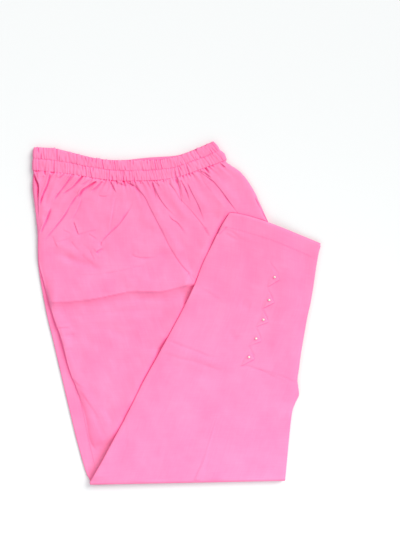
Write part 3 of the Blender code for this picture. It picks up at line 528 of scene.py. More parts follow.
def nearest_on(points, x, y, reach):
    """For the points near a line: which they are, how far beside and along it they lie, and their offsets."""
    nodes = MM * np.array(points, dtype=float)
    samples = along_table(nodes, np.linspace(0.0, len(nodes) - 1.0, 6 * len(nodes)))
    near = (x > samples[:, 0].min() - reach) & (x < samples[:, 0].max() + reach)
    near &= (y > samples[:, 1].min() - reach) & (y < samples[:, 1].max() + reach)
    px, py = x[near], y[near]
    best = np.full(px.shape, np.inf)
    best_x, best_y = np.zeros_like(px), np.zeros_like(px)
    turn, along = np.ones_like(px), np.zeros_like(px)
    steps = len(samples) - 1
    for k in range(steps):
        (x0, y0), (x1, y1) = samples[k], samples[k + 1]
        dx, dy = x1 - x0, y1 - y0
        t = np.clip(((px - x0) * dx + (py - y0) * dy) / (dx * dx + dy * dy), 0.0, 1.0)
        off_x, off_y = px - x0 - t * dx, py - y0 - t * dy
        distance = np.hypot(off_x, off_y)
        closer = distance < best
        best = np.where(closer, distance, best)
        best_x, best_y = np.where(closer, off_x, best_x), np.where(closer, off_y, best_y)
        turn = np.where(closer, np.where(dx * off_y - dy * off_x >= 0.0, 1.0, -1.0), turn)
        along = np.where(closer, (k + t) / steps, along)
    return near, best * turn, along, best_x, best_y


def crease_fade(along):
    """Fade of a crease at its ends."""
    return fade_ends(along, 0.15, 0.35)


def drawn_to_creases(creases, x, y):
    """Moves points of the cloth toward the creases, which take cloth up and need fine faces."""
    moved_x, moved_y = x.copy(), y.copy()
    for points, depth, width, *_ in creases:
        near, signed, along, off_x, off_y = nearest_on(points, x, y, 0.012)
        pull = 0.62 * min(1.0, depth / 0.9) * crease_fade(along) * bell(signed, 0.0028 + MM * width)
        moved_x[near] -= pull * off_x
        moved_y[near] -= pull * off_y
    return moved_x, moved_y


def crease_relief(creases, x, y):
    """Height that a table of creases gives: a sharp trough, steep on its high side, then a soft rise."""
    height = np.zeros_like(x)
    for number, (points, depth, width, side, spread) in enumerate(creases):
        near, signed, along, *_ = nearest_on(points, x, y, 0.03)
        depth, width = MM * depth, MM * width
        uneven = 0.78 + 0.32 * value_noise(x[near], y[near], 0.012, 50 + number)
        high = signed * side
        soft = np.sqrt(high ** 2 + 0.0003 ** 2) - 0.0003
        trough = np.exp(-soft / (np.where(high > 0.0, 0.55, spread) * width))
        rise = bell(high - 2.3 * width, 1.9 * width)
        slope = bell(high - 6.0 * width, 5.0 * width)
        height[near] += depth * uneven * crease_fade(along) * (0.45 * rise + 0.22 * slope - trough)
    return height


def ledge_relief(ledges, x, y):
    """Height of folds with one sharp side: a lip, a short slope below it, and a long soft rise behind it."""
    height = np.zeros_like(x)
    for points, size, sharp, fall, behind, side in ledges:
        near, signed, along, *_ = nearest_on(points, x, y, 0.06)
        high = signed * side / MM
        fade = fade_ends(along, 0.12, 0.06) * (0.95 + 0.12 * value_noise(x[near], y[near], 0.02, 71))
        lip = smooth_step(high / 0.9 + 0.5)
        back = bell(np.maximum(high, 0.0), behind)
        front = (1.0 - sharp) * np.clip(1.0 + high / fall, 0.0, 1.0) ** 1.6
        height[near] += MM * size * fade * (lip * back + (1.0 - lip) * front)
    return height


def fold_relief(folds, x, y):
    """Height that a table of soft folds gives, half as high again as the table says."""
    height = np.zeros_like(x)
    for points, size, width in folds:
        near, signed, along, *_ = nearest_on(points, x, y, 4.0 * MM * width)
        height[near] += 1.5 * MM * size * fade_ends(along, 0.3, 0.3) * bell(signed, MM * width)
    return height


def edge_roll(distance, width, drop):
    """Cloth that rolls down toward an edge: 0 inside, minus drop at the edge."""
    share = np.clip(1.0 - distance / width, 0.0, 1.0)
    return -drop * (1.0 - np.sqrt(1.0 - 0.999 * share ** 2))


def band_valleys(channel):
    """Puckers of one channel of the waistband: place along it, depth, width, lean, start and end."""
    random = np.random.default_rng(20 + channel)
    valleys = []
    place = 0.0025
    while place < BAND_LENGTH - 0.002:
        close = 0.5 + 0.5 * math.sin(place / 0.019 + 2.1 * channel) * math.sin(place / 0.031)
        strong = random.random() < STRONG_SHARE
        depth = random.uniform(0.8, 1.15) if strong else random.uniform(0.22, 0.55)
        width = random.uniform(0.0008, 0.0013) if strong else random.uniform(0.0007, 0.0016)
        lean = random.uniform(-0.12, 0.12) - 0.30 * (place / BAND_LENGTH) ** 2
        low, high = random.choice(((0.0, 1.0), (0.0, 0.6), (0.4, 1.0), (0.0, 1.0)))
        valleys.append((place, depth, width, lean, low, high))
        place += random.uniform(0.0022, 0.0040) + 0.0034 * close * random.random()
    return valleys


def gather_relief(x, y, waist_distance):
    """Height of the gathers, which run down from the valleys of the waistband's lower channel."""
    random = np.random.default_rng(7)
    near = waist_distance < GATHER_REACH
    px, py = x[near], y[near]
    total = np.zeros_like(px)
    for place, depth, valley, *_ in band_valleys(0):
        seam_x, seam_y = on_band(place / BAND_LENGTH)[:2]
        lean = np.interp(seam_x, *GATHER_LEANS) + random.uniform(-0.25, 0.25)
        length = random.choice(GATHER_LENGTHS, p=GATHER_CHANCES)
        length *= random.uniform(0.8, 1.2)
        norm = math.hypot(lean, 1.0)
        dx, dy = lean / norm, -1.0 / norm
        down = np.maximum((px - seam_x) * dx + (py - seam_y) * dy, 0.0)
        off = np.abs((px - seam_x) * dy - (py - seam_y) * dx)
        spread = (0.0002 + 0.9 * valley) * (1.0 + down / 0.018)
        shape = np.exp(-(off / spread) ** 1.4) - 0.45 * bell(off - 2.1 * spread, 0.9 * spread)
        total -= GATHER_DEPTH * (0.25 + 0.75 * depth) * shape * np.exp(-(down / length) ** 1.3)
    height = np.zeros_like(x)
    height[near] = total
    return height


def body_relief(x, y, edge, from_left, waist_distance):
    """Height of the cloth's form on the visible face of the upper leg."""
    height = WAIST_FULLNESS * np.exp(-waist_distance / 0.055)
    height += soft_noise(x, y, 1.0, ((0.00095, 0.024, 1), (0.00042, 0.011, 2), (0.00009, 0.0055, 3)))
    height += gather_relief(x, y, waist_distance) + fold_relief(BODY_FOLDS, x, y)
    height += crease_relief(BODY_CREASES, x, y) + ledge_relief(BODY_LEDGES, x, y)
    # The seam to the waistband pulls the cloth in, more on the left
    uneven = 0.65 + 0.55 * value_noise(x, y * 0.2, 0.0042, 4)
    height -= np.interp(x, (-0.10, -0.02), (0.0017, 0.0009)) * uneven * bell(waist_distance, 0.0017)
    # Rolled edges, and the swell of the left edge beside the knee fold
    height *= smooth_step((edge + 0.001) / 0.004)
    height -= EDGE_ROUNDING * bell(edge, 0.005)
    height += KNEE_SWELL * bell(y + 0.035, 0.060) * bell(from_left, 0.012)
    # Flat under the turned-up part, raised against its edge where that lies closed, sunk where it stands open
    cover = outside_cover(x, y)
    height *= smooth_step(np.where(height > 0.0, (cover - 0.002) / 0.010, (cover + 0.012) / 0.008))
    gap = (1.0 - edge_closed(y)) * smooth_step((0.082 - x) / 0.010)
    height *= np.where(height > 0.0, 1.0 - 0.8 * (1.0 - gap) * bell(cover, 0.006), 1.0)
    beside = bell(np.maximum(cover - 0.0010, 0.0), 0.0180) * smooth_step((cover + 0.0018) / 0.0024)
    height += EDGE_RISE * beside * (1.0 - gap)
    height -= GAP_DEPTH * gap * bell(cover, np.interp(y, EDGE_GAP_Y, EDGE_GAP_WIDTH))
    low_edge = np.clip(1.0 - from_left / 0.022, 0.0, 1.0) ** 2
    height -= LOW_EDGE_DEPTH * low_edge * smooth_step((-0.100 - y) / 0.05)
    return np.maximum(height, -DEEPEST)


def turned_up_relief(x, y, edge, is_left, seam_distance, hem_distance):
    """Height of the cloth's form on the visible face of the lower leg."""
    height = soft_noise(x, y, -1.0, ((0.00040, 0.026, 11), (0.00020, 0.012, 12), (0.00006, 0.006, 13)))
    height += crease_relief(TURNED_UP_CREASES, x, y) + fold_relief(TURNED_UP_FOLDS, x, y)
    height *= smooth_step((edge + 0.001) / 0.005)
    # Edges that roll down, and the left one lifted where it stands open
    height += edge_roll(edge, 0.0085, EDGE_DROP) * np.where(is_left, 0.2 + 0.8 * edge_closed(y), 0.4)
    height += edge_roll(hem_distance, 0.006, EDGE_DROP)
    open_low = smooth_step((-0.180 - y) / 0.030) * smooth_step((y + 0.262) / 0.012)
    open_fold = bell(y - 0.029, 0.010)
    height += (OPEN_LIFT_LOW * open_low + OPEN_LIFT_FOLD * open_fold) * bell(edge, 0.020) * is_left
    # The doubled cloth of the hem, drawn in and puckered by its stitches
    from_stitches = hem_distance - HEM_TURNING
    height += HEM_STEP * smooth_step(0.5 - from_stitches / 0.0040)
    height -= STITCH_DIP * bell(from_stitches, 0.0010)
    height += HEM_STEP * value_noise(x, y * 0.3, 0.004, 14) * bell(from_stitches, 0.006)
    # The side seam's allowance, which shows through as a wedge that widens toward the knee fold
    widening = smooth_step((-0.205 - y) / 0.055)
    lap = 0.0028 + 0.0095 * widening
    beyond = seam_distance + 0.0070 * widening
    low = smooth_step((-0.150 - y) / 0.04)
    shown = low * smooth_step((lap - beyond) / (0.0012 + 0.0012 * widening) + 0.5)
    height += (0.0007 + 0.0006 * widening) * shown * np.clip(beyond / lap, 0.0, 1.0)
    height -= 0.00022 * low * widening * bell(beyond + 0.0016, 0.0014)
    return height


def spaced_rows(table, spacing):
    """Rows read from a leg's table at distances along it, with a spacing that is read from a table too."""
    fine = np.linspace(0.0, len(table) - 1.0, 600)
    rows = along_table(table, fine)
    distance = running_length(0.5 * (rows[:, :2] + rows[:, 2:4]))
    places = [0.0]
    while places[-1] < distance[-1]:
        places.append(places[-1] + np.interp(places[-1], *spacing))
    places = np.array(places[:-1]) * distance[-1] / places[-2]
    return along_table(table, np.interp(places, distance, fine))


def leg_lines(body, turned_up, body_spacing, up_spacing, turn_steps):
    """Lines across a leg, waist to hem: rows, fold angles, count on the body, and the first one turned up."""
    body_rows, up_rows = spaced_rows(body, body_spacing), spaced_rows(turned_up, up_spacing)
    turn = np.linspace(-90.0, 90.0, turn_steps + 1)[1:-1]
    rows = np.concatenate((body_rows, np.repeat(body_rows[-1:], len(turn), axis=0), up_rows))
    angles = np.concatenate((np.full(len(body_rows), -90.0), turn, np.full(len(up_rows), 90.0)))
    return rows, np.radians(angles), len(body_rows), len(body_rows) + len(turn)


def plan_points(rows, across, is_body):
    """Places on lines across a leg, seen from above. across has a row of places for each line."""
    waist_x, waist_y = waist_curve(across)
    bow, is_body = rows[:, BOW, None], is_body[:, None]
    x = rows[:, LEFT_X, None] * (1 - across) + rows[:, RIGHT_X, None] * across
    y = rows[:, LEFT_Y, None] * (1 - across) + rows[:, RIGHT_Y, None] * across
    return x + bow * np.where(is_body, waist_x, 0.0), y + bow * np.where(is_body, waist_y, hem_curve(across))


def crowded_columns(side, rows, is_body, spread, even):
    """Shares across the upper leg's panel, most of them where the turned-up part doesn't hide it."""
    probe = np.linspace(0.0, 1.0, 200)[None, :]
    seen = outside_cover(*plan_points(rows, spread(probe), is_body)) > -SEEN_MARGIN
    share = np.clip(seen.mean(axis=1), 0.02, 0.98)
    split = SEEN_COLUMNS
    if side == "front":
        share = np.where(seen[:, 0], 0.0, 1.0 - share)
        split = 1.0 - SEEN_COLUMNS
    share = smoothed(share, 15)
    wholly_seen = share > 0.97 if side == "back" else share < 0.03
    blend = smoothed(np.where(wholly_seen, 1.0, 0.0), 21)[:, None]
    share = share[:, None]
    crowded = np.minimum(even / split, 1.0) * share
    crowded = crowded + np.clip((even - split) / (1.0 - split), 0.0, 1.0) * (1.0 - share)
    return crowded * (1.0 - blend) + even * blend


def panel_grid(leg, side, lines, face_columns, back_columns):
    """Points of one panel's sheet: its visible face from the seam, round the crease edge, and its back."""
    rows, angles, body_end, up_start = lines
    is_body = np.arange(len(rows)) < up_start
    visible, hidden = UPPER_LEG_RADII if leg == "left_leg" else LOWER_LEG_RADII[::-1]
    nose = 0.5 * abs(hidden - visible)
    width = np.hypot(rows[:, RIGHT_X] - rows[:, LEFT_X], rows[:, RIGHT_Y] - rows[:, LEFT_Y])[:, None]
    seam = rows[:, SEAM, None]

    def from_edge(distance):
        """Share across the leg at a distance from the panel's crease edge."""
        return distance / width if side == "front" else 1.0 - distance / width

    def spread(part):
        """Shares across the leg, from the seam at 0 to the start of the crease's roundness at 1."""
        return seam + (from_edge(nose) - seam) * part

    part = np.linspace(0.0, 1.0, face_columns)[None, :]
    if leg == "left_leg":
        part = crowded_columns(side, rows, is_body, spread, part)
    nose_angles = np.radians(np.linspace(90.0, -90.0, NOSE_COLUMNS + 2)[1:-1])
    back_part = 1.0 - np.linspace(0.0, 1.0, back_columns)[None, :] ** 1.6
    nose_part = from_edge(nose - nose * np.cos(nose_angles))
    across = np.concatenate((spread(part), nose_part, spread(back_part)), axis=1)
    x, y = plan_points(rows, across, is_body)

    # How much each column belongs to the visible face
    weight = np.concatenate((np.ones(face_columns), 0.5 + 0.5 * np.sin(nose_angles), np.zeros(back_columns)))
    radius = np.tile(hidden + (visible - hidden) * weight, (len(rows), 1))
    folded = slice(0, body_end) if leg == "left_leg" else slice(up_start, len(rows))
    face = (folded, slice(0, face_columns + NOSE_COLUMNS))
    behind = (folded, slice(face_columns + NOSE_COLUMNS, None))
    creases = BODY_CREASES if leg == "left_leg" else TURNED_UP_CREASES
    x[face], y[face] = drawn_to_creases(creases, x[face], y[face])
    waist_distance = np.hypot(x - x[0], y - y[0])
    hem_distance = np.hypot(x - x[-1], y - y[-1])
    from_left = across * width
    edge = np.minimum(across, 1.0 - across) * width
    if leg == "left_leg":
        relief = body_relief(x[face], y[face], edge[face], from_left[face], waist_distance[face])
        radius[face] -= relief * weight[face[1]]
        radius[folded] += 0.00025 * (1.0 - weight) * bell(edge[folded], 0.004)
    else:
        relief = turned_up_relief(x[face], y[face], edge[face], across[face] < 0.5,
                                  ((seam - across) * width)[face], hem_distance[face])
        radius[face] += relief * weight[face[1]]
        if side == "front":
            drop = EDGE_DROP * (0.2 + 0.8 * edge_closed(y[folded, face_columns]))[:, None]
            radius[face] -= drop * (1.0 - weight[face[1]])
            radius[behind] -= drop * bell(np.maximum(from_left[behind] - nose, 0.0), 0.0012)
    depth = sink(x, y) * (~is_body)[:, None]
    if leg == "left_leg":
        depth = depth * (1.0 + INSIDE_EXTRA_SINK / SINK_DEPTH)
    height = (np.sign(angles) * np.abs(np.sin(angles)) ** FOLD_BLUNTNESS)[:, None]
    z = FOLD_AXIS_Z + radius * height - depth
    y = y - FOLD_REACH * radius * np.cos(angles)[:, None]
    return np.stack((x, y, z), axis=-1), hem_distance, across[0]


def roll_hem(points):
    """Adds rows that turn the cloth in round the hem's edge and lay it back inside."""
    end = points[-1]
    forward = end - points[-4]
    forward[:, 2] = 0.0
    forward /= np.linalg.norm(forward, axis=1, keepdims=True)
    middle_z = 0.5 * (end[:, 2].max() + end[:, 2].min())
    inward = np.zeros_like(end)
    inward[:, 2] = np.where(end[:, 2] > middle_z, -1.0, 1.0)
    rows = []
    for angle in np.radians((30, 60, 90, 120, 150, 180)):
        reach = 0.5 * HEM_THICKNESS * math.sin(angle)
        drop = 0.5 * HEM_THICKNESS * (1.0 - math.cos(angle))
        rows.append(end + forward * reach + inward * drop)
    for back in HEM_LAID_BACK:
        rows.append(end - forward * back + inward * HEM_THICKNESS)
    return np.concatenate((points, np.stack(rows)), axis=0)


def tuck_under_band(points, across, is_upper):
    """Adds rows at the waist that run on into the waistband, so the seam shows no gap."""
    here = on_band(np.clip(across, 0.0, 1.0))
    up = here[:, 2:] - here[:, :2]
    up /= np.linalg.norm(up, axis=1, keepdims=True)
    rows = []
    for reach, drop in WAIST_TUCK:
        row = points[0].copy()
        row[:, :2] += up * reach
        if is_upper:
            floor = FOLD_AXIS_Z - UPPER_LEG_RADII[1]
            row[:, 2] = np.maximum(row[:, 2] - drop, np.minimum(row[:, 2], floor + 0.0008))
        rows.append(row)
    return np.concatenate((np.stack(rows), points), axis=0)


def hem_stitch_line(points, hem_distance, face_columns):
    """Points on a panel's face where the hem's turning is stitched down."""
    line = []
    for column in range(0, face_columns, 2):
        distances = hem_distance[::-1, column][:200]
        place = np.interp(HEM_TURNING, distances, np.arange(len(distances)))
        low = len(points) - 1 - int(place)
        share = place - int(place)
        line.append(points[low, column] * (1.0 - share) + points[low - 1, column] * share)
    return line


def make_panel(leg, side, lines, material):
    """One panel's cloth, laid on its solid's form. Gives back the line of the hem's stitches."""
    node = f"{leg}_{side}"
    columns = FACE_COLUMNS[node]
    points, hem_distance, across = panel_grid(leg, side, lines, columns, BACK_COLUMNS[leg])
    stitch_line = hem_stitch_line(points, hem_distance, columns)
    points = roll_hem(tuck_under_band(points, across, leg == "left_leg"))
    along = running_length(points).mean(axis=1, keepdims=True)
    sideways = running_length(points.swapaxes(0, 1)).T
    uv = np.stack((sideways, along * np.ones_like(sideways)), axis=-1)
    if (side == "front") != (leg == "left_leg"):
        points, uv = points[:, ::-1], uv[:, ::-1]
    piece = add_piece(f"{node}_cloth", grid_mesh(f"{node}_cloth", points, uv), material, "leg_cloth", node)
    return stitch_line


def grid_faces(index):
    """Four-sided faces of a grid, from the numbers of its points."""
    corners = (index[:-1, :-1], index[:-1, 1:], index[1:, 1:], index[1:, :-1])
    return np.stack(corners, axis=-1).reshape(-1, 4)


def cloth_mesh(name, points, faces, uv):
    """Smooth mesh with each point's place on the cloth as its UV."""
    mesh = bpy.data.meshes.new(name)
    mesh.from_pydata(points.reshape(-1, 3).tolist(), [], faces.tolist())
    layer = mesh.uv_layers.new(name="cloth")
    layer.data.foreach_set("uv", uv.reshape(-1, 2)[faces.reshape(-1)].astype(np.float32).reshape(-1))
    mesh.shade_smooth()
    return mesh


def grid_mesh(name, points, uv):
    """One open sheet from a grid of points."""
    index = np.arange(points.shape[0] * points.shape[1]).reshape(points.shape[:2])
    return cloth_mesh(name, points, grid_faces(index), uv)


def weld(mesh):
    """Join the ends of a loop where its points lie on each other."""
    bm = bmesh.new()
    bm.from_mesh(mesh)
    bmesh.ops.remove_doubles(bm, verts=bm.verts, dist=1e-6)
    bmesh.ops.recalc_face_normals(bm, faces=bm.faces)
    bm.to_mesh(mesh)
    bm.free()
    mesh.shade_smooth()


def add_object(name, data):
    """Put a mesh, lamp or camera in the scene."""
    thing = bpy.data.objects.new(name, data)
    bpy.context.scene.collection.objects.link(thing)
    return thing


def add_piece(name, mesh, material, slot, *replaced):
    """Put a mesh in the scene as a piece of the pants."""
    piece = add_object(name, mesh)
    piece.data.materials.append(material)
    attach(piece, "root")
    if replaced:
        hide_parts(*replaced)
    return piece


def pucker_relief(along, height_share):
    """Height of the waistband's puckers: valleys at uneven places, their own in each channel."""
    total = np.zeros_like(along)
    for channel in range(2):
        share = 2.0 * height_share - channel
        inside = smooth_step(share / 0.06 + 0.5) * smooth_step((1.0 - share) / 0.06 + 0.5)
        for place, depth, width, lean, low, high in band_valleys(channel):
            bend = 0.0006 * np.sin(3.0 * share + 900.0 * place)
            off = np.abs(along - place - lean * (share - 0.5) * 0.017 - bend)
            held = smooth_step((share - low) / 0.35 + (low < 0.1))
            held = held * smooth_step((high - share) / 0.35 + (high > 0.9))
            valley = np.exp(-(off / width) ** 1.7) - 0.30 * bell(off - 2.0 * width, 1.1 * width)
            total -= inside * held * depth * valley
    return total


def band_wall(a, s, t):
    """Thickness of the outer wall: two channels, the stitches between them, puckers and rounded edges."""
    place = a * BAND_LENGTH
    round_low, round_top = quarter_round(1.0 - s / 0.045), quarter_round((s - 0.93) / 0.07)
    wander = 0.5 + 0.030 * value_noise(place, 0.0, 0.013, 35) + 0.018 * value_noise(place, a, 0.005, 36)
    stitch = bell(s - wander, 0.028) * (0.75 + 0.45 * value_noise(place, 0.0, 0.0048, 37))
    bulge = 0.88 + 0.12 * np.sin(math.pi * (s * 2.0 % 1.0))
    wall = (BAND_WALL + 0.0006) * bulge * (1.0 - 0.19 * stitch)
    wall = wall * (0.30 + 0.70 * round_low) * (0.12 + 0.88 * round_top)
    wall += PUCKER_DEPTH * pucker_relief(place, s) * (0.45 + 0.55 * round_low)
    for height, stretch, size, seed in ((0.00022, 0.012, 0.0021, 38), (0.0003, 0.02, 0.0042, 31),
                                        (0.0005, 0.04, 0.010, 32)):
        wall += height * value_noise(place, s * stretch, size, seed)
    toward_front = smooth_step((np.cos(t) + 0.2) / 1.2) * (np.cos(t) >= -0.01)
    return wall * toward_front + (BAND_MIDDLE_Z - BAND_SLIT) * (1.0 - toward_front)


def band_height(a, s, t):
    """Share of the band's height where points lie: ruffled edges, rounded corners and a raised back."""
    place = a * BAND_LENGTH
    end_distance = np.minimum(a, 1.0 - a) * BAND_LENGTH
    corner = 0.13 * (1.0 - quarter_round(1.0 - (end_distance + 0.004 * (1.0 - np.sin(t))) / 0.0070))
    inside = smooth_step(end_distance / 0.006) * (np.cos(t) > 0.5)
    ruffle = 0.045 * inside * value_noise(place, 0.0, 0.0035, 33)
    ruffle += 0.060 * inside * pucker_relief(place, np.full_like(a, 0.8))
    low_ruffle = 0.030 * inside * pucker_relief(place, np.full_like(a, 0.2))
    back_rise = BAND_BACK_RISE / BAND_HEIGHT * bell(0.65 - a, 0.12) * (np.cos(t) < -0.99)
    return s * (1.0 + back_rise + s ** 4 * (ruffle - corner)) - (1.0 - s) ** 6 * (0.022 + low_ruffle)


def make_waistband(material):
    """Elastic waistband: one closed loop of two puckered channels with a stitch line between them."""
    front_count, end_count, back_count = 760, 14, 60
    half_turn = np.linspace(0.0, 180.0, end_count + 2)[1:-1]
    along = np.concatenate((np.linspace(0.0, 1.0, front_count), np.ones(end_count),
                            np.linspace(1.0, 0.0, back_count), np.zeros(end_count)))
    turn = np.radians(np.concatenate((np.zeros(front_count), half_turn, np.full(back_count, 180.0),
                                      180.0 + half_turn)))
    outer_share = np.concatenate((np.linspace(0.0, 0.06, 6), np.linspace(0.08, 0.46, 14),
                                  np.linspace(0.475, 0.525, 7), np.linspace(0.54, 0.92, 14),
                                  np.linspace(0.94, 1.0, 6)))
    share = np.concatenate((outer_share, np.linspace(1.0, 0.0, 6)))
    is_outer = np.arange(len(share)) < len(outer_share)
    a, s = np.meshgrid(along, share, indexing="ij")
    t = np.meshgrid(turn, share, indexing="ij")[0]
    here = on_band(a)
    middle = np.full(a.shape + (1,), BAND_MIDDLE_Z)
    seam = np.concatenate((here[..., :2], middle), axis=-1)
    up = np.concatenate((here[..., 2:], middle), axis=-1) - seam
    direction = up / np.linalg.norm(up, axis=-1, keepdims=True)
    # Outward is up on the front, sideways at the ends and down on the back
    cap = np.where(a > 0.5, np.interp(s, *RIGHT_CAP), np.interp(s, *LEFT_CAP)) * np.sin(t)
    out = np.stack((direction[..., 1] * cap, -direction[..., 0] * cap, np.cos(t)), axis=-1)
    radius = BAND_SLIT + np.where(is_outer, np.maximum(band_wall(a, s, t), 0.0006), 0.0)
    points = seam + up * band_height(a, s, t)[..., None] + out * radius[..., None]
    points[is_outer & (np.cos(t) < -0.99), 2] = 0.0

    loop = np.concatenate((points, points[:1]), axis=0)
    loop = np.concatenate((loop, loop[:, :1]), axis=1)
    u = running_length(loop[:, 20])[:, None] * np.ones((1, loop.shape[1]))
    v = np.concatenate((share, share[:1]))[None, :] * BAND_WEAVE_HEIGHT * np.ones((loop.shape[0], 1))
    mesh = grid_mesh("waistband_cloth", loop, np.stack((u, v), axis=-1))
    weld(mesh)
    piece = add_piece("waistband_cloth", mesh, material, "waistband", "waistband")
    return points[:front_count, np.argmin(np.abs(outer_share - 0.5))]


def shader_of(name, settings):
    """New material, with values set on its shader's own sockets."""
    material = bpy.data.materials.new(name)
    material.use_nodes = True
    shader = material.node_tree.nodes["Principled BSDF"]
    for socket, value in settings.items():
        shader.inputs[socket].default_value = value
    return material, material.node_tree.nodes, material.node_tree.links, shader


def colour_ramp(nodes, colours, positions=(0.0, 1.0)):
    """Ramp between two colours."""
    ramp = nodes.new("ShaderNodeValToRGB")
    for stop, colour, position in zip(ramp.color_ramp.elements, colours, positions):
        stop.color = colour
        stop.position = position
    return ramp


def cotton_material(name, tones):
    """Plain-woven cotton: fine crossed threads, slubs, soft uneven dye, and painted shade, a deeper pink that
    ambient occlusion puts in folds and hollows.
    """
    material, nodes, links, shader = shader_of(name, {
        "Roughness": 0.85, "Specular IOR Level": 0.15, "Sheen Weight": 0.06, "Sheen Roughness": 0.5,
        "Sheen Tint": (1.0, 0.55, 0.75, 1.0)})
    cloth = nodes.new("ShaderNodeUVMap")
    cloth.uv_map = "cloth"
    place = nodes.new("ShaderNodeTexCoord")

    def noise(vector, scale, detail, stretch=(1.0, 1.0, 1.0)):
        """Soft random tone over the places that a socket gives."""
        mapping = nodes.new("ShaderNodeMapping")
        mapping.inputs["Scale"].default_value = stretch
        links.new(vector, mapping.inputs["Vector"])
        texture = nodes.new("ShaderNodeTexNoise")
        texture.inputs["Scale"].default_value = scale
        texture.inputs["Detail"].default_value = detail
        links.new(mapping.outputs["Vector"], texture.inputs["Vector"])
        return texture.outputs["Fac"]

    def combine(operation, first, second):
        """Sum, difference or product of two sockets or numbers."""
        node = nodes.new("ShaderNodeMath")
        node.operation = operation
        for socket, value in zip(node.inputs, (first, second)):
            if isinstance(value, float):
                socket.default_value = value
            else:
                links.new(value, socket)
        return node.outputs["Value"]

    def crossed(fine, long):
        """Streaks along the warp and along the weft, added."""
        warp = noise(cloth.outputs["UV"], 1.0, 1.0, (fine, long, 1.0))
        return combine("ADD", warp, noise(cloth.outputs["UV"], 1.0, 1.0, (long, fine, 1.0)))

    def threads(direction):
        """Fine even threads that lie side by side in one direction."""
        texture = nodes.new("ShaderNodeTexWave")
        texture.bands_direction = direction
        for socket, value in (("Scale", 800.0), ("Distortion", 1.2), ("Detail", 1.0), ("Detail Scale", 0.4)):
            texture.inputs[socket].default_value = value
        links.new(cloth.outputs["UV"], texture.inputs["Vector"])
        return combine("SUBTRACT", texture.outputs["Fac"], 0.5)

    slub = crossed(1500.0, 70.0)
    tone = combine("MULTIPLY", noise(place.outputs["Object"], 24.0, 3.0), 0.50)
    tone = combine("ADD", tone, combine("MULTIPLY", crossed(420.0, 24.0), 0.12))
    tone = combine("ADD", tone, combine("MULTIPLY", slub, 0.10))
    ramp = colour_ramp(nodes, [(*tint, 1.0) for tint in tones], (0.36, 0.68))
    links.new(tone, ramp.inputs["Fac"])

    # Painted shade: ambient occlusion mixes the cloth's colour toward a deep pink in creases, slits, gaps and
    # under edges
    shade_occlusion = nodes.new("ShaderNodeAmbientOcclusion")
    shade_occlusion.samples = 8
    shade_occlusion.inputs["Distance"].default_value = 0.007
    mix = nodes.new("ShaderNodeMix")
    mix.data_type = "RGBA"
    mix.clamp_factor = True
    factor, open_colour, painted_shade_colour, mixed = mix.inputs[0], mix.inputs[6], mix.inputs[7], mix.outputs[2]
    links.new(combine("MULTIPLY", combine("SUBTRACT", 1.0, shade_occlusion.outputs["AO"]), 1.45), factor)
    links.new(ramp.outputs["Color"], open_colour)
    painted_shade_colour.default_value = (*PAINTED_FOLD_SHADE_PINK, 1.0)
    links.new(mixed, shader.inputs["Base Color"])

    weave = combine("MULTIPLY", threads("X"), threads("Y"))
    bump = nodes.new("ShaderNodeBump")
    bump.inputs["Strength"].default_value = 0.35
    bump.inputs["Distance"].default_value = 0.00012
    links.new(combine("ADD", weave, combine("MULTIPLY", slub, 0.8)), bump.inputs["Height"])
    links.new(bump.outputs["Normal"], shader.inputs["Normal"])
    return material


def pearl_material():
    """Imitation pearl: ivory and glossy, with a painted lustre, cream where it faces the view and pink toward
    its rim.
    """
    material, nodes, links, shader = shader_of("pearl", {
        "Roughness": 0.42, "Coat Weight": 0.15, "Coat Roughness": 0.25, "Subsurface Weight": 0.7,
        "Subsurface Radius": (0.002, 0.0016, 0.0016), "Subsurface Scale": 1.0})
    # Painted lustre: the colour turns from cream to pink as the pearl's face turns away from the view
    painted_lustre_facing = nodes.new("ShaderNodeLayerWeight")
    painted_lustre_facing.inputs["Blend"].default_value = 0.35
    ramp = colour_ramp(nodes, PEARL_IVORY_AND_PAINTED_LUSTRE)
    links.new(painted_lustre_facing.outputs["Facing"], ramp.inputs["Fac"])
    links.new(ramp.outputs["Color"], shader.inputs["Base Color"])
    return material


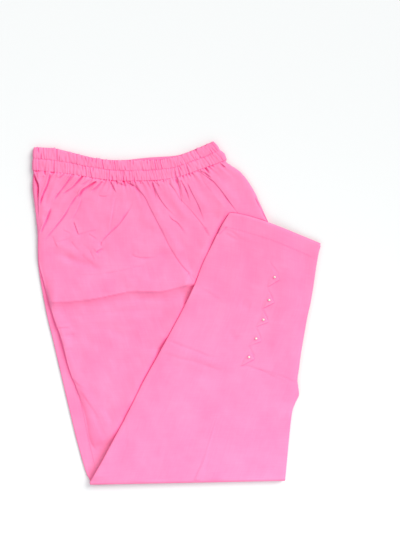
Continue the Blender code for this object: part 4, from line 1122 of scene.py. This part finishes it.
def make_tab(number, corners, material):
    """Folded cotton triangle that comes out of the side seam, its free corner a little off the cloth."""
    upper, tip, lower = corners
    out_of_seam = tip - 0.5 * (upper + lower)
    height = float(np.hypot(*out_of_seam))
    # Rows from the seam side, 2.5 mm under the panel, to the blunt free corner
    shares = np.linspace(0.0, 1.0, 33)
    out, along = np.meshgrid(shares, shares, indexing="ij")
    tucked = TAB_TUCK * out_of_seam / height
    seam_side = (upper - tucked) * along[..., None] + (lower - tucked) * (1.0 - along[..., None])
    toward_tip = TAB_POINT * out[..., None]
    plan = seam_side * (1.0 - toward_tip) + tip * toward_tip
    x, y = plan[..., 0], plan[..., 1]

    reach = TAB_REACH * out
    rim = np.minimum(np.minimum(along, 1.0 - along) * (1.05 - 0.9 * out) * 0.022, (1.0 - out) * 0.016)
    lift = TAB_LIFT * out ** 1.5
    puff = 0.0002 * value_noise(x, y, 0.009, 40 + number)
    low_edge = TAB_LOW_EDGE * (1.0 - along) ** 1.3 * smooth_step((reach - 0.0012) / 0.0035)
    thick = low_edge + (TAB_THICKNESS + puff) * smooth_step(reach / 0.007)
    leg_height = FOLD_AXIS_Z + LOWER_LEG_RADII[1] - sink(x, y)
    top = leg_height - TAB_SEAT + thick * (0.45 + 0.55 * quarter_round(1.0 - rim / TAB_RIM)) + lift
    under = np.minimum(leg_height - 0.0009 + 0.9 * lift, top - 0.0002)
    points = np.stack([np.stack((x, y, z), axis=-1) for z in (top, under)])

    index = np.arange(out.size).reshape(out.shape)
    border = np.concatenate((index[0, :-1], index[:-1, -1], index[-1, :0:-1], index[:0:-1, 0]))
    following = np.roll(border, -1)
    walls = np.stack((border, following, following + out.size, border + out.size), axis=-1)
    faces = np.concatenate((grid_faces(index)[:, ::-1], grid_faces(index) + out.size, walls))
    uv = np.stack((points[..., 0] + points[..., 1], points[..., 1] - points[..., 0]), axis=-1)
    mesh = cloth_mesh(f"tab_{number}_cloth", points, faces, uv)
    mesh.set_sharp_from_angle(angle=math.radians(60))
    weld(mesh)
    piece = add_piece(f"tab_{number}_cloth", mesh, material, "tab_cloth", f"tab_{number}")


def make_bead(number, pearl, thread_material):
    """Pearl bead, a little flattened at its holes, with the loop of thread that holds it."""
    node_low, node_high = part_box(f"bead_{number}")
    centre = (Vector(node_low) + Vector(node_high)) / 2 + Vector(PEARL_SHIFT)
    radius = 0.5 * PEARL_DIAMETER
    angle = math.radians(25 + 23 * number)
    bm = bmesh.new()
    bmesh.ops.create_uvsphere(bm, u_segments=40, v_segments=24, radius=radius)
    for vert in bm.verts:
        vert.co.z *= 0.97 - 0.10 * max(0.0, abs(vert.co.z) / radius - 0.93) / 0.07
        x, y, z = vert.co
        vert.co = (z * math.cos(angle) - y * math.sin(angle), z * math.sin(angle) + y * math.cos(angle), x)
        vert.co += centre
    mesh = bpy.data.meshes.new(f"bead_{number}_pearl")
    bm.to_mesh(mesh)
    bm.free()
    mesh.shade_smooth()
    add_piece(f"bead_{number}_pearl", mesh, pearl, "bead", f"bead_{number}")

    direction = Vector((math.cos(angle), math.sin(angle), 0.0))
    route = []
    for t in np.linspace(-1.0, 1.0, 13):
        reach = THREAD_REACH * math.sin(t * math.pi / 2)
        drop = THREAD_DROP * abs(t) ** 6
        route.append(centre + direction * reach - Vector((0.0, 0.0, drop)))
    thread = tube_mesh(f"bead_{number}_thread", [route], BEAD_THREAD)
    add_piece(f"bead_{number}_thread", thread, thread_material, "tab_cloth")


def tube_mesh(name, routes, radius):
    """Round threads along several routes, as one mesh."""
    vertices, faces = [], []
    sides = 6
    for route in routes:
        start, last = len(vertices), len(route) - 1
        for k, point in enumerate(route):
            ahead = route[min(k + 1, last)] - route[max(k - 1, 0)]
            ahead.normalize()
            across = ahead.cross(Vector((0.0, 0.0, 1.0)))
            across.normalize()
            up = across.cross(ahead)
            taper = 0.55 if k in (0, last) else 1.0
            for side in range(sides):
                angle = 2.0 * math.pi * side / sides
                vertices.append(point + (across * math.cos(angle) + up * math.sin(angle)) * radius * taper)
        for ring in range(start, start + last * sides, sides):
            for side in range(sides):
                a, b = ring + side, ring + (side + 1) % sides
                faces.append((a, b, b + sides, a + sides))
        faces.append(tuple(start + side for side in reversed(range(sides))))
        faces.append(tuple(start + last * sides + side for side in range(sides)))
    mesh = bpy.data.meshes.new(name)
    mesh.from_pydata(vertices, [], faces)
    mesh.shade_smooth()
    return mesh


def stitch_routes(path, length, gap, rise):
    """Short raised stitches along a path of points."""
    points = np.array(path)
    distance = running_length(points[:, :2])
    routes = []
    place = gap
    while place + length < distance[-1]:
        route = []
        for t in np.linspace(0.0, 1.0, 5):
            x, y, z = (np.interp(place + t * length, distance, points[:, axis]) for axis in range(3))
            route.append(Vector((x, y, z + rise * math.sin(math.pi * t) - STITCH_SEAT)))
        routes.append(route)
        place += length + gap
    return routes


def make_floor():
    """Pale plain floor, as in a studio."""
    half = 4.0
    mesh = bpy.data.meshes.new("floor")
    mesh.from_pydata([(-half, -half, 0.0), (half, -half, 0.0), (half, half, 0.0), (-half, half, 0.0)], [],
                     [(0, 1, 2, 3)])
    mesh.materials.append(shader_of("floor_paper", {
        "Base Color": FLOOR_COLOUR, "Roughness": 0.9, "Specular IOR Level": 0.1})[0])
    floor = add_object("floor", mesh)
    floor.location.z = -0.0002


def make_light():
    """Even studio light: a bright room, one wide soft sun from the upper right, and two small fills."""
    world = bpy.data.worlds.new("studio")
    bpy.context.scene.world = world
    world.use_nodes = True
    background = world.node_tree.nodes["Background"]
    background.inputs["Color"].default_value = (0.98, 1.0, 1.06, 1.0)
    background.inputs["Strength"].default_value = 0.74
    bpy.context.scene.view_settings.view_transform = "Standard"

    lamp = bpy.data.lights.new("key", "SUN")
    lamp.angle = math.radians(38.0)
    lamp.energy = 2.98
    lamp.color = (1.0, 0.998, 0.94)
    direction = Vector((-0.58, -0.525, -0.62))
    sun = add_object("key", lamp)
    sun.location = -2.0 * direction
    sun.rotation_euler = direction.to_track_quat("-Z", "Y").to_euler()
    for name, place, size, energy in (("fill_right", (0.20, -0.34, 0.36), 0.35, 0.62),
                                      ("fill_left", (-0.26, -0.20, 0.46), 0.40, 0.36)):
        lamp = bpy.data.lights.new(name, "AREA")
        lamp.size = size
        lamp.energy = energy
        add_object(name, lamp).location = place


def make_camera():
    """Camera straight above, framed as in the photograph."""
    camera = bpy.data.cameras.new("camera")
    camera.lens = 80.0
    camera.sensor_width = 36.0
    camera.clip_end = 20.0
    distance = camera.lens / camera.sensor_width * PHOTO_HEIGHT * PIXEL
    holder = add_object("camera", camera)
    holder.location = ((0.5 * PHOTO_WIDTH - ORIGIN_PIXEL[0]) * PIXEL,
                       (ORIGIN_PIXEL[1] - 0.5 * PHOTO_HEIGHT) * PIXEL, distance)
    bpy.context.scene.camera = holder


def main():
    """Materials, then every sewn piece, then the studio."""
    cotton = cotton_material("pink_cotton", COTTON_TONES)
    band_cotton = cotton_material("pink_waistband_cotton", BAND_TONES)
    tab_cotton = cotton_material("pink_tab_cotton", TAB_TONES)
    thread = cotton_material("pink_thread", THREAD_TONES)
    pearl = pearl_material()

    upper = leg_lines(UPPER_LEG_BODY, UPPER_LEG_TURNED_UP, FINE_BODY, COARSE_TURNED_UP, 8)
    lower = leg_lines(LOWER_LEG_BODY, LOWER_LEG_TURNED_UP, COARSE_BODY, FINE_TURNED_UP, 20)
    for side in ("front", "back"):
        make_panel("left_leg", side, upper, cotton)
    routes = []
    for side in ("front", "back"):
        routes += stitch_routes(make_panel("right_leg", side, lower, cotton), *HEM_STITCH)
    add_piece("hem_stitches", tube_mesh("hem_stitches", routes, HEM_THREAD), thread, "leg_cloth")
    ridge = make_waistband(band_cotton)
    stitches = tube_mesh("waistband_stitches", stitch_routes(ridge, *BAND_STITCH), BAND_THREAD)
    add_piece("waistband_stitches", stitches, thread, "waistband")
    for number, corners in enumerate(TABS, start=1):
        make_tab(number, corners, tab_cotton)
        make_bead(number, pearl, thread)
    make_floor()
    make_light()
    make_camera()


main()
